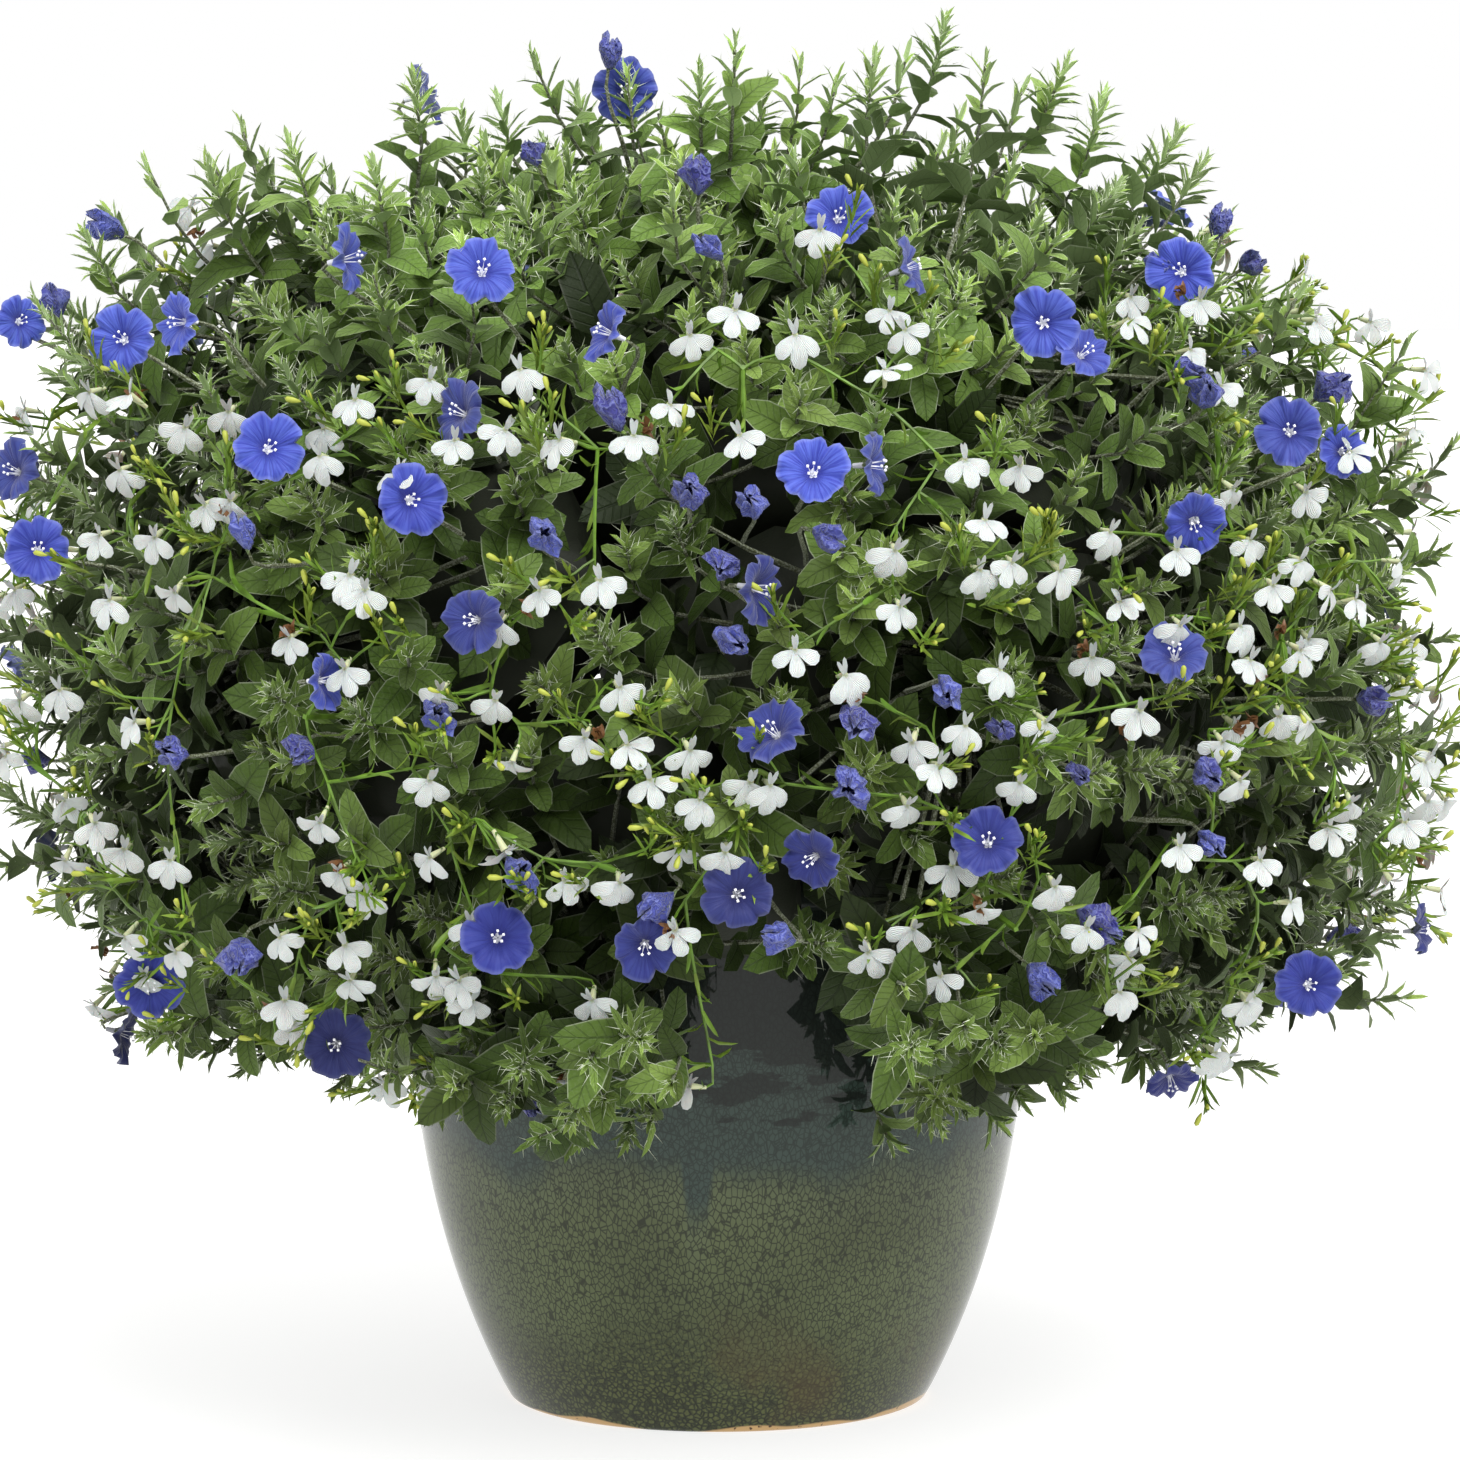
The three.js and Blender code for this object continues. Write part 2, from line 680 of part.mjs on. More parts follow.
function growSprig(growth, head, tip, draw) {
  const direction = tip.clone().sub(headMiddles[head]).normalize();
  const base = headMiddles[head].clone().addScaledVector(direction, SPRIG_ROOT * headReach(direction, head));
  const stalk = rod(base, tip, SPRIG_RADIUS);
  if (!staysWithHead(stalk, head) || !growth.addIfRoom(stalk)) {
    return;
  }
  const turn = 2 * Math.PI * draw();
  SPRIG_LEAVES.forEach(([down, tilt, size], k) => {
    const root = tip.clone().addScaledVector(direction, -down);
    addLeaf(growth, head, root, direction, tilt, turn + k * GOLDEN_ANGLE, size);
  });
}

// A flower with its stalk, in one closed surface: a plate whose edge runs through the given points and that
// narrows behind to a stalk of half as many sides, down to its foot. The edge's points are [degrees round from
// the flower's top, distance out, distance forward].
function flowerOnStalk(edge, middle, stalk, place, facing, hanging) {
  const sides = edge.length;
  const y = facing.clone().normalize();
  const x = new THREE.Vector3().crossVectors(y, hanging).normalize();
  const z = new THREE.Vector3().crossVectors(x, y);
  const at = (across, forward, down) =>
    place.clone().addScaledVector(x, across).addScaledVector(y, forward).addScaledVector(z, down);
  const neck = at(0, stalk.neck, 0);
  const along = stalk.foot.clone().sub(neck).normalize();
  const stalkX = new THREE.Vector3().crossVectors(along, z).normalize();
  const stalkZ = new THREE.Vector3().crossVectors(stalkX, along);
  const tube = new THREE.CylinderGeometry(1, 1, 2, sides, 2);
  return moved(tube, (point) => {
    const turn = Math.atan2(point.x, point.z) / (2 * Math.PI) + 1;
    const step = Math.round(turn * sides) % sides;
    if (Math.hypot(point.x, point.z) < 0.5) {
      point.copy(point.y > 0 ? at(0, middle, 0) : stalk.foot);
    } else if (point.y > 0.5) {
      const [degrees, out, forward] = edge[step];
      const angle = THREE.MathUtils.degToRad(degrees - 180);
      point.copy(at(out * Math.sin(angle), forward, out * Math.cos(angle)));
    } else {
      const angle = (2 * Math.PI * 2 * Math.floor(step / 2)) / sides;
      const atNeck = point.y > -0.5;
      const radius = atNeck ? stalk.radius : stalk.footRadius;
      point.copy(atNeck ? neck : stalk.foot).addScaledVector(stalkX, radius * Math.sin(angle));
      point.addScaledVector(stalkZ, -radius * Math.cos(angle));
    }
  });
}

// Evolvulus blooms: an open one is a shallow cup of five notched petals, a faded one a small twist
function bloomEdge() {
  const edge = [];
  for (let i = 0; i < 2 * BLOOM_LOBES; i++) {
    const isNotch = i % 2;
    const out = (isNotch ? NOTCH_SHARE : LOBE_SHARE) * BLOOM_RADIUS;
    edge.push([(180 * i) / BLOOM_LOBES, out, isNotch ? -LOBE_RISE : LOBE_RISE]);
  }
  return edge;
}

function fadedBloom(place, direction) {
  const twist = new THREE.SphereGeometry(1, 4, 2);
  const width = 0.3 * FADED_LENGTH;
  moved(twist, (point) => point.set(point.x * width, (point.y / 2 + 0.5) * FADED_LENGTH, point.z * width));
  return placed(twist, place, direction, UP);
}

// The way a bloom faces, from how far it is turned to the right and tipped up in degrees, as the eye sees it
function facingFrom(place, turned, tipped) {
  const facing = EYE.clone().sub(place).normalize().applyAxisAngle(UP, THREE.MathUtils.degToRad(turned));
  const side = new THREE.Vector3().crossVectors(facing, UP).normalize();
  return facing.applyAxisAngle(side, THREE.MathUtils.degToRad(tipped));
}

const bloomPlaces = FRONT_BLOOMS.map(([across, down, turned, tipped]) => {
  const place = seenAt(across, down, BLOOM_LEVEL);
  return { place, facing: facingFrom(place, turned, tipped) };
});
for (let i = 0; i < BACK_BLOOMS; i++) {
  const place = outlinePoint(backDirection(i, BACK_BLOOMS, 0.8, -0.4), BLOOM_LEVEL);
  bloomPlaces.push({ place, facing: outwardFrom(place) });
}

// The places in the nearest heads' cores that a stalk to a throat can start from
function seatsFor(place, throat) {
  return headsByDistance(place).slice(0, 3).flatMap((head) => SEAT_SHARES.map((share) => {
    const direction = throat.clone().sub(headMiddles[head]).normalize();
    return headMiddles[head].clone().addScaledVector(direction, share * headReach(direction, head));
  }));
}

function growBlooms({ place, facing }, index) {
  const draw = drawFrom(400 + index);
  const growth = new Growth("evolvulus_blooms", index, BLUE_PETAL);
  const throat = place.clone().addScaledVector(facing, -BLOOM_DEPTH - BLOOM_THICKNESS);
  const room = disc(LOBE_SHARE * BLOOM_RADIUS, BLOOM_DEPTH, place, facing);
  const seats = seatsFor(place, throat);
  const free = seats.find((start) => roomFor(growth.name, stalkRoom(start, throat, PEDUNCLE_RADIUS), room));
  const seat = free ?? seats[0];
  takeRoom(growth.name, room, stalkRoom(seat, throat, PEDUNCLE_RADIUS));
  const neck = -BLOOM_DEPTH - 2 * BLOOM_THICKNESS;
  const stalk = { foot: seat, radius: PEDUNCLE_RADIUS, footRadius: PEDUNCLE_RADIUS, neck };
  growth.solids.push(solidOf(flowerOnStalk(bloomEdge(), -BLOOM_DEPTH, stalk, place, facing, UP)));
  const axis = throat.clone().sub(seat).normalize();
  const start = throat.clone().addScaledVector(axis, -FADED_BELOW_THROAT);
  const direction = axis.clone().add(besideAxis(axis, 2 * Math.PI * draw())).normalize();
  if (index % 3 === 1) {
    growth.addIfRoom(fadedBloom(start, direction));
  }
  return { growth, seat, throat };
}

// The room of a stalk, and that of a flower: a disc of its reach, with its depth behind it
function stalkRoom(foot, neck, radius) {
  return rod(foot, neck, 1.5 * radius, 4);
}

function disc(reach, depth, place, facing) {
  const room = new THREE.CylinderGeometry(reach, reach * 0.6, depth, 8).translate(0, -depth / 2 + 1, 0);
  return placed(room, place, facing, UP);
}

// Lobelia: a flower is a plate with three broad lobes below and a narrow one above, on a thin stalk.
const LIP_SHARES = [[0, 0.62], [110, 0.95], [145, 0.55], [180, 1], [215, 0.55], [250, 0.95]];
const LOBELIA_EDGE = LIP_SHARES.map(([degrees, share]) => {
  return [degrees, share * FLOWER_LIP, -LIP_DROOP * share * FLOWER_LIP];
});

// The way down over the bush's surface at a place, which lobelia flowers hang towards.
function downslope(place) {
  const out = outwardFrom(place);
  return UP.clone().negate().addScaledVector(out, out.z).normalize();
}

const flowerPlaces = FRONT_FLOWERS.map(([across, down]) => seenAt(across, down, FLOWER_LEVEL));
for (let i = 0; i < BACK_FLOWERS; i++) {
  flowerPlaces.push(outlinePoint(backDirection(i, BACK_FLOWERS, 0.66, -0.46), FLOWER_LEVEL));
}

const hubs = [];
for (let i = 0; i < SPRAYS; i++) {
  hubs.push(outlinePoint(spiralDirection(i, SPRAYS, 0.62, -0.42, 2.35), HUB_LEVEL));
}

function growSpray(growth, hub) {
  const isOwn = (place) => hubs.every((other) => other.distanceTo(place) >= hub.distanceTo(place));
  const own = flowerPlaces.filter(isOwn);
  own.sort((a, b) => a.distanceTo(hub) - b.distanceTo(hub));
  const inward = outwardFrom(hub).negate();
  const forks = [];
  for (let k = 0; k < HUB_FORKS; k++) {
    forks.push(hub.clone().addScaledVector(inward, 1 + k * FORK_SPACING));
  }
  for (const place of own) {
    const out = outwardFrom(place);
    const towardsEye = EYE.clone().sub(place).normalize().multiplyScalar(place.y < 0 ? TURN_TO_EYE : 0);
    const facing = out.clone().add(towardsEye).normalize();
    const neck = place.clone().addScaledVector(facing, -FLOWER_THICKNESS);
    const room = disc(0.9 * FLOWER_LIP, 2 * FLOWER_THICKNESS, place, facing);
    const nearFirst = [...forks].sort((a, b) => a.distanceTo(place) - b.distanceTo(place));
    const branchRoom = (start) => stalkRoom(start, neck, BRANCH_RADIUS);
    const fork = nearFirst.find((start) => roomFor(growth.name, branchRoom(start), room));
    if (fork) {
      takeRoom(growth.name, room, branchRoom(fork));
      const stalk = {
        foot: fork,
        radius: BRANCH_RADIUS,
        footRadius: BRANCH_FOOT_RADIUS,
        neck: -FLOWER_THICKNESS,
      };
      growth.solids.push(solidOf(flowerOnStalk(LOBELIA_EDGE, 0, stalk, place, facing, downslope(place))));
      forks.splice(forks.indexOf(fork), 1, ...FORK_SHARES.map((share) => fork.clone().lerp(neck, share)));
    }
  }
}

// Growing it all: stems first, then blooms, lobelia flowers and leaves, each kept clear of what is there
const heads = headMiddles.map((middle, i) => ({
  growth: new Growth("evolvulus_stem", i, FOLIAGE),
  stem: stemTo(middle, EVOLVULUS_STEM_RADIUS, EVOLVULUS_STRAIGHT_TIP),
}));
const sprays = hubs.map((hub, i) => ({
  growth: new Growth("lobelia_spray", i, WHITE_PETAL),
  stem: stemTo(hub, LOBELIA_STEM_RADIUS, LOBELIA_STRAIGHT_TIP),
}));
for (const { growth, stem } of [...heads, ...sprays]) {
  growth.solids.push(solidOf(alongCurve(stem.curve, stem.radius)));
  takeRoom(growth.name, ...stretches(stem.curve, stem.radius));
}
const blooms = bloomPlaces.map(growBlooms);
sprays.forEach(({ growth }, i) => growSpray(growth, hubs[i]));

const sprigTips = SPRIGS.map(([across, down]) => seenAt(across, down, 1));
for (let i = 0; i < BACK_SPRIGS; i++) {
  sprigTips.push(outlinePoint(backDirection(i, BACK_SPRIGS, 0.97, -0.5), 1.03));
}
sprigTips.forEach((tip, i) => {
  const head = headsByDistance(tip)[0];
  growSprig(heads[head].growth, head, tip, drawFrom(800 + i));
});

// The room in a leafy core for what passes through it or is seated in it
function widened({ growth, stem }) {
  return { owner: growth.name, solid: solidOf(alongCurve(stem.curve, stem.radius + 2 * SEAT_GAP)) };
}

function socket({ growth, seat, throat }) {
  const axis = throat.clone().sub(seat).normalize();
  const start = seat.clone().addScaledVector(axis, -SEAT_GAP);
  const radius = HOLE_WIDENING * (PEDUNCLE_RADIUS + SEAT_GAP);
  return { owner: growth.name, solid: solidOf(rod(start, throat, radius, HOLE_SIDES)) };
}

const rooms = [...heads.map(widened), ...sprays.map(widened), ...blooms.map(socket)];

heads.forEach(({ growth }, i) => {
  const { ball, tips } = leafyCore(i);
  const draw = drawFrom(200 + i);
  for (const tip of tips) {
    const axis = tip.clone().sub(headMiddles[i]).normalize().add(outwardFrom(tip)).normalize();
    const tilt = LEAF_TILT + LEAF_TILT_SPREAD * draw();
    addLeaf(growth, i, tip, axis, tilt, 2 * Math.PI * draw(), LEAF_LEAST + LEAF_SPREAD * draw());
  }
  const others = rooms.filter(({ owner }) => owner !== growth.name).map(({ solid }) => solid);
  growth.solids.push(mainBody(solidOf(ball).subtract(Manifold.union(others))));
});

const planting = new THREE.Group();

function addMesh(name, solid, material) {
  const mesh = new THREE.Mesh(geometryOf(solid), material);
  mesh.name = name;
  planting.add(mesh);
}

addMesh("pot", potSolid(), GLAZE);
addMesh("soil", soilSolid([...heads, ...sprays].map(({ stem }) => stem)), SOIL);
for (const { growth } of [...heads, ...sprays, ...blooms]) {
  addMesh(growth.name, growth.fused(), growth.material);
}

export default planting;
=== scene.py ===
"""A dwarf morning glory (evolvulus) and white trailing lobelia in a crackle-glazed stoneware pot.

Everything is in metres, +Z up, with the origin in the middle of the pot's base and the front facing -Y. The bush,
its stems, leafy heads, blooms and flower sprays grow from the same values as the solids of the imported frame.
"""

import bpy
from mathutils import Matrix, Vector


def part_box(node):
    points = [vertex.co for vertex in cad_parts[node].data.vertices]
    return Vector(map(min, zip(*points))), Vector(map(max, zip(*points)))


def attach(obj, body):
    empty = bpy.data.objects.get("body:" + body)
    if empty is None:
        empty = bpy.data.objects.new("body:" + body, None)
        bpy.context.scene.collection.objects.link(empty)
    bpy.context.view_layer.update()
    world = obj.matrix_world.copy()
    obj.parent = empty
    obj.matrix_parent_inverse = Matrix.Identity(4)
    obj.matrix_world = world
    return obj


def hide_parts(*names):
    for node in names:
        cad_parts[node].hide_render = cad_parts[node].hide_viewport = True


bl_info = {
    "name": "Potted Dwarf Morning Glory",
    "version": (1, 0, 0),
    "blender": (4, 5, 0),
    "location": "View3D > Sidebar > Planting",
    "description": "Builds a dwarf morning glory with white lobelia in a crackle-glazed pot",
    "category": "Add Mesh",
}

import math
from functools import partial
from random import Random

import bmesh
import bpy
import numpy as np
from bpy.props import FloatProperty, FloatVectorProperty, IntProperty, PointerProperty
from mathutils import Matrix, Vector, kdtree, noise
from mathutils.geometry import interpolate_bezier

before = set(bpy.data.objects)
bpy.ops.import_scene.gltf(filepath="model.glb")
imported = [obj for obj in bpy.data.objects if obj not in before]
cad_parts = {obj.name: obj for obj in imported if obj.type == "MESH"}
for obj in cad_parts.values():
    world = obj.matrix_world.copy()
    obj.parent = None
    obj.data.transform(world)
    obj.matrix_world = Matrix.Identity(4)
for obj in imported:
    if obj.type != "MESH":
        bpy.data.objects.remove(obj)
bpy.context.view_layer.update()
BODY = "root"
MM = 0.001
UP = Vector((0, 0, 1))
GOLDEN_ANGLE = math.pi * (3 - math.sqrt(5))

# The pot's wall bellies out by this power between its foot and its rim
POT_BELLY = 2.8
POT_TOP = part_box("pot")[1].z
LIP_OUT = 4 * MM
LIP_HEIGHT = 12 * MM
LIP_ROUNDING = 3 * MM
LIP_RADIUS = 0.136
DRAIN_RADIUS = 7 * MM
DRAIN_CIRCLE = 44 * MM
DRAIN_HOLES = 3
SOIL_EDGE = POT_TOP - 22 * MM
SOIL_CROWN = 9 * MM

# Sides of the round parts of the pot and the soil
POT_STEPS = 96
SOIL_STEPS = 72
SOIL_GAP = 1.5 * MM
CRUMB_SIZE = 9 * MM
CRUMB_HEIGHT = 2 * MM

# The glaze changes colour along this height, with one drip that runs below it
GLAZE_LINE = 136 * MM
DRIP_PLACE = -8 * MM
DRIP_LENGTH = 20 * MM

# The bush's outline, round across and flatter above and below
BUSH_CENTRE = Vector((0, 0, 0.290))
BUSH_RADIUS = 0.318
BUSH_RISE = 0.245
BUSH_DROP = 0.178
BUSH_POWER = 2.5

# The bush's places are drawn from these seeds
FOLIAGE_SEED = 7
SIDE_BLOOM_SEED = 31
FADED_SEED = 32
FLOWER_SEED = 33
BLOOM_SEED = 41
SPRAY_SEED = 500

# Leafy heads, in rows from the top down, as (height of the direction they grow in, heads, turn)
HEAD_ROWS = ((1, 1, 0), (0.66, 3, 0.5), (0.16, 5, 0.1), (-0.4, 6, 0.25))
HEAD_MIDDLE = 0.72

# The pot's wall shows through a gap in the front of the hanging skirt
GAP_MIDDLE = 0.014
GAP_HALF_WIDTH = 0.026
GAP_TOP = 0.200

# Stems
STEM_RADIUS = 2.8 * MM
SPRAY_STEM_RADIUS = 2 * MM
STRAIGHT_RISE = 52 * MM
ROOT_INNER = 14 * MM
ROOT_SPREAD = 122 * MM
ROOT_SUNK = 8 * MM

# The radius of a thin stem at its start and at its end
SHOOT_STEM = (1.3 * MM, 0.6 * MM)
INNER_STEM = (1.4 * MM, 0.8 * MM)
BLOOM_STALK = (1.1 * MM, 0.7 * MM)
BRANCH_STEM = (0.7 * MM, 0.45 * MM)
TUFT_STEM = (0.58 * MM, 0.45 * MM)
DRIED_STEM = (0.6 * MM, 0.5 * MM)

# Thin parts
LEAF_THICKNESS = 0.5 * MM
NARROW_THICKNESS = 0.4 * MM
PETAL_THICKNESS = 0.35 * MM
# Radii of hairs at their roots, several times those of real hairs so that they show
BRACT_HAIR = 0.2 * MM
SEPAL_HAIR = 0.1 * MM

# Shares out at which a bloom's petals have points, and how many sides the bloom has
BLOOM_RINGS = (0.08, 0.22, 0.48, 0.76, 1.0)
BLOOM_STEPS = 46
FADED_RINGS = (0.05, 0.25, 0.45, 0.65, 0.84, 1.0)
FADED_STEPS = 22

# Kinds of shoot, as (narrow leaves at its tip, how far apart, how far apart the full leaves below stand)
SHOOT_KINDS = {"brush": (22, 1 * MM, 4 * MM), "tall": (6, 2.6 * MM, 5.5 * MM), "plain": (5, 1.6 * MM, 3.6 * MM)}
BRUSH_SHARE = 0.42
SHOOT_LEVELS = (0.84, 0.98)
BACK_TALL_SHOOTS = 16
BACK_TALL_LEVEL = 1.02

# Painted shade darkens leaves down to this depth inside the bush, and painted light makes them lighter towards its
# top and at a shoot's tip
SHADE_DEPTH = 78 * MM
LEAFY_REACH = 62 * MM
TOP_LIGHT = 0.7
TIP_LIGHT = 0.2

# Old leaves darkened with painted shade stand this far apart on the outer part of their shoots, outside dark cores
# that stand in for the shade inside the leafy heads
INNER_SHOOTS = 150
INNER_SPACING = 4.5 * MM
INNER_LEAFY = 60 * MM
INNER_LEVELS = (0.66, 0.8)
CORE_MIDDLE = 0.56
CORE_LEVEL = 0.7

# Lobelia sprays, and where a flower's tube ends below its lobes
SPRAYS = 12
HUB_LEVEL = 0.96
TUBE_END = Vector((0, -2.2, -8)) * MM
PAIR_SHARE = 0.5
DRIED_SHARE = 0.16

# How far out flowers and blooms lie, and the room that leaves keep clear in front of each
FLOWER_LEVEL = 0.985
BLOOM_LEVEL = 0.99
SIDE_BLOOM_LEVEL = BLOOM_LEVEL - 0.01
FADED_LEVEL = 0.97
FLOWER_ROOM = 9 * MM
BLOOM_ROOM = 15 * MM
FADED_ROOM = 6 * MM

# The front view: squares of VIEW_SQUARE metres, counted from its top left corner, as seen from the eye
VIEW_SQUARE = 0.00042
VIEW_MIDDLE = 730
VIEW_AIM = Vector((0.005, 0, 0.281))
EYE = Vector((0.005, -2.392, 0.475))
SENSOR = 36.0
VIEW_WIDTH = 2 * VIEW_MIDDLE * VIEW_SQUARE

# Shoots that stand out of the outline in the front view, as (across, down)
TALL_SHOOTS = (
    (18, 300), (66, 306), (112, 216), (182, 140), (243, 132), (292, 150), (415, 84), (535, 64), (622, 44),
    (735, 50), (800, 68), (874, 64), (944, 28), (1064, 70), (1176, 138), (1226, 226), (1404, 350), (1452, 446),
    (1402, 998), (1262, 1070), (912, 1046), (566, 1130), (340, 1078), (150, 1034), (150, 172), (212, 164),
    (268, 166), (330, 178), (88, 240), (40, 304), (375, 172), (462, 122), (500, 108), (578, 98), (655, 80),
    (700, 78), (765, 92), (836, 84), (905, 62), (985, 66), (1022, 92), (1102, 102), (1145, 162), (1200, 168),
    (1256, 290), (1300, 292), (650, 1120), (480, 1112), (1000, 1040), (1060, 1030), (870, 1030),
)
# They stand this much nearer or further at most, which the front view doesn't show
TALL_SPREAD = 75 * MM

# Shoots that hang in front of the pot in the front view, and how far out they hang
HANGING_SHOOTS = (
    (432, 1112), (468, 1128), (505, 1104), (540, 1136), (572, 1118), (604, 1098), (640, 1110), (672, 1082),
    (520, 1070), (590, 1060), (640, 1040), (455, 1085), (892, 1036), (930, 1050), (965, 1030), (1000, 1046),
    (1035, 1036), (905, 985),
)
HANGING_LEVEL = 1.06

# Open blue blooms in the front view, as (across, down, turned to the right, tipped up), the last two in degrees.
# The first ones and those of the back have solids of their own in the frame.
FRONT_BLOOMS = (
    (626, 90, 0, 10), (483, 267, 5, 25), (121, 338, -15, 10), (270, 447, 10, 10), (813, 470, 0, 15),
    (1043, 323, 0, 0), (1180, 270, -10, 10), (1290, 430, 0, 10), (765, 590, 60, -10), (770, 728, -35, 30),
    (988, 840, 0, 15), (738, 895, 5, 0), (498, 937, 0, 5), (335, 1045, -5, -5), (1310, 985, 10, 0),
    (1175, 650, 0, 35), (38, 548, 0, 10), (412, 500, 10, 0), (150, 985, 0, -10), (430, 92, 100, 20),
)
BACK_BLOOMS = 10
SIDE_BLOOMS = (
    (22, 320, 20, 10), (355, 258, 70, 10), (174, 322, -60, 0), (601, 330, -70, 20), (880, 465, 75, 0),
    (1087, 350, 40, 30), (1345, 450, 20, 10), (645, 948, 0, -20), (455, 410, -50, 20), (1195, 525, 10, -20),
    (330, 680, 60, 0), (470, 620, -30, 0), (130, 1035, 70, -20), (1172, 1085, 20, -60), (1425, 930, 75, 0),
    (840, 215, 10, 20), (915, 265, 80, 20), (10, 470, -40, 10), (810, 860, -30, -20),
)
BACK_SIDE_BLOOMS = 12
FADED_BLOOMS = (
    (110, 232), (57, 303), (715, 250), (617, 415), (685, 497), (748, 507), (247, 537), (722, 560), (725, 640),
    (945, 688), (855, 785), (440, 720), (170, 755), (240, 950), (880, 1010), (1040, 975), (1090, 918),
    (1205, 770), (1075, 770), (1205, 840), (600, 1045), (520, 880), (525, 1100), (1250, 265), (1325, 392),
    (1220, 228), (1185, 370), (1202, 398), (700, 180), (535, 155), (1155, 265), (855, 720), (825, 535),
    (545, 540), (612, 58), (660, 905), (780, 940), (300, 745), (1000, 730), (1370, 700),
)
BACK_FADED_BLOOMS = 26

# White lobelia flowers in the front view, as (across, down)
FRONT_FLOWERS = (
    (690, 335), (795, 335), (905, 330), (740, 435), (965, 460), (1200, 300), (1305, 275), (1370, 322), (1350, 452),
    (190, 207), (90, 392), (185, 427), (355, 400), (430, 380), (520, 370), (400, 475), (455, 440), (560, 440),
    (320, 456), (100, 535), (155, 537), (15, 590), (230, 500), (365, 590), (290, 637), (540, 590), (600, 580),
    (60, 690), (135, 722), (175, 592), (440, 690), (495, 700), (585, 737), (627, 745), (690, 750), (750, 782),
    (620, 687), (795, 650), (845, 675), (900, 606), (912, 742), (985, 520), (1012, 562), (1110, 532), (1200, 500),
    (1000, 670), (1045, 722), (1140, 710), (1120, 602), (1240, 626), (1300, 650), (1330, 590), (1400, 562),
    (1250, 540), (1310, 722), (1380, 642), (1222, 742), (1350, 802), (1330, 827), (1405, 822), (1180, 845),
    (1055, 886), (980, 908), (1138, 930), (1246, 1002), (1120, 992), (1290, 902), (868, 952), (940, 976),
    (675, 930), (620, 882), (725, 852), (592, 1000), (566, 1080), (690, 1086), (95, 822), (170, 860), (320, 822),
    (340, 872), (430, 857), (125, 937), (176, 952), (280, 937), (350, 980), (436, 976), (472, 1000), (385, 1084),
    (460, 1087), (430, 780), (512, 762), (1425, 762), (1215, 1052), (505, 430), (130, 395), (25, 410), (120, 470),
    (205, 505), (350, 575), (345, 668), (20, 700), (110, 600), (650, 780), (770, 785), (700, 800), (505, 850),
    (565, 880), (65, 860), (345, 945), (460, 980), (95, 1005), (285, 1000), (938, 765), (895, 550), (980, 570),
    (1060, 570), (1020, 465), (1180, 625), (1250, 660), (1355, 600), (1300, 560), (1130, 320), (1190, 350),
    (1315, 320), (1425, 370), (1415, 430), (1410, 640), (1445, 800), (1260, 860), (1390, 880), (1440, 890),
    (1240, 780), (735, 310), (885, 370), (670, 405), (820, 230),
)
BACK_FLOWERS = 120


def linear(colour):
    """An sRGB hex colour as linear red, green and blue."""
    parts = [int(colour[i : i + 2], 16) / 255 for i in (1, 3, 5)]
    return tuple(c / 12.92 if c <= 0.04045 else ((c + 0.055) / 1.055) ** 2.4 for c in parts)


def tints(**colours):
    """Named sRGB hex colours as linear ones."""
    return {name: linear(colour) for name, colour in colours.items()}


# Colours of markings, for which the materials have no setting
DRY = tints(leaf="#7d4f2a", green="#6e4a2a")
# Painted shade in a leaf's sunk veins
VEIN_SHADE = linear("#0d190a")
GRAIN = linear("#a39c8c")
WHITE = tints(star="#eef0fa", stamen="#f2f3f8")
# One glaze colour, near black, is painted shade of the bush below the rim
GLAZE = tints(
    pale_olive="#535c3c", band="#566048", crack="#12160c", dark_spot="#1a1d0f", pale_spot="#51562f", rust="#4f3d20",
    pooled="#0e120d", blue_crack="#0b0f0a", chip="#4a3220",
)


def length_property(name, description, default):
    return FloatProperty(name=name, description=description, default=default, min=0, unit="LENGTH", precision=4)


def colour_property(name, description, default):
    return FloatVectorProperty(name=name, description=description, default=linear(default), subtype="COLOR", size=3)


class PotSettings(bpy.types.PropertyGroup):
    rim_radius: length_property("Rim radius", "Radius of the pot's wall at its rim", 132 * MM)
    foot_radius: length_property("Foot radius", "Radius of the pot at its foot", 88 * MM)
    wall: length_property("Wall", "Thickness of the pot's wall", 9 * MM)
    floor: length_property("Floor", "Thickness of the pot's floor", 13 * MM)
    lower_glaze: colour_property("Lower glaze", "Olive glaze of the lower pot", "#474f32")
    upper_glaze: colour_property("Upper glaze", "Blue-green glaze of the upper pot", "#35443d")
    clay: colour_property("Clay", "Bare stoneware at the foot", "#bd9a68")
    soil: colour_property("Soil", "Damp potting soil", "#2e2219")


class FoliageSettings(bpy.types.PropertyGroup):
    shoots: IntProperty(name="Shoots", description="Leafy shoots spread over the bush", default=800, min=1)
    leaf_length: length_property("Leaf length", "Length of a full-grown evolvulus leaf", 22 * MM)
    leaf_width: length_property("Leaf width", "Width of a full-grown evolvulus leaf", 12 * MM)
    bract_length: length_property("Tip leaf length", "Length of a narrow leaf at a shoot's tip", 15 * MM)
    old_green: colour_property("Old leaf", "Upper side of a full-grown leaf", "#4f6b29")
    young_green: colour_property("Young leaf", "Upper side of a young leaf", "#92aa56")
    underside: colour_property("Underside", "Lower side of a leaf", "#83966a")
    stem: colour_property("Stem", "Hairy stem", "#626a3c")
    hair: colour_property("Hair", "Silvery hairs on tips and stems", "#c9d0b8")


class BloomSettings(bpy.types.PropertyGroup):
    radius: length_property("Bloom radius", "Radius of an open blue bloom", 14 * MM)
    petal: colour_property("Petal", "Blue of an open bloom", "#4759b6")
    pleat: colour_property("Pleat", "Darker blue of the pleats", "#1b248c")
    back: colour_property("Petal back", "Pale back of a bloom", "#858fc6")
    faded: colour_property("Faded petal", "Violet-blue of a faded, crumpled bloom", "#282474")


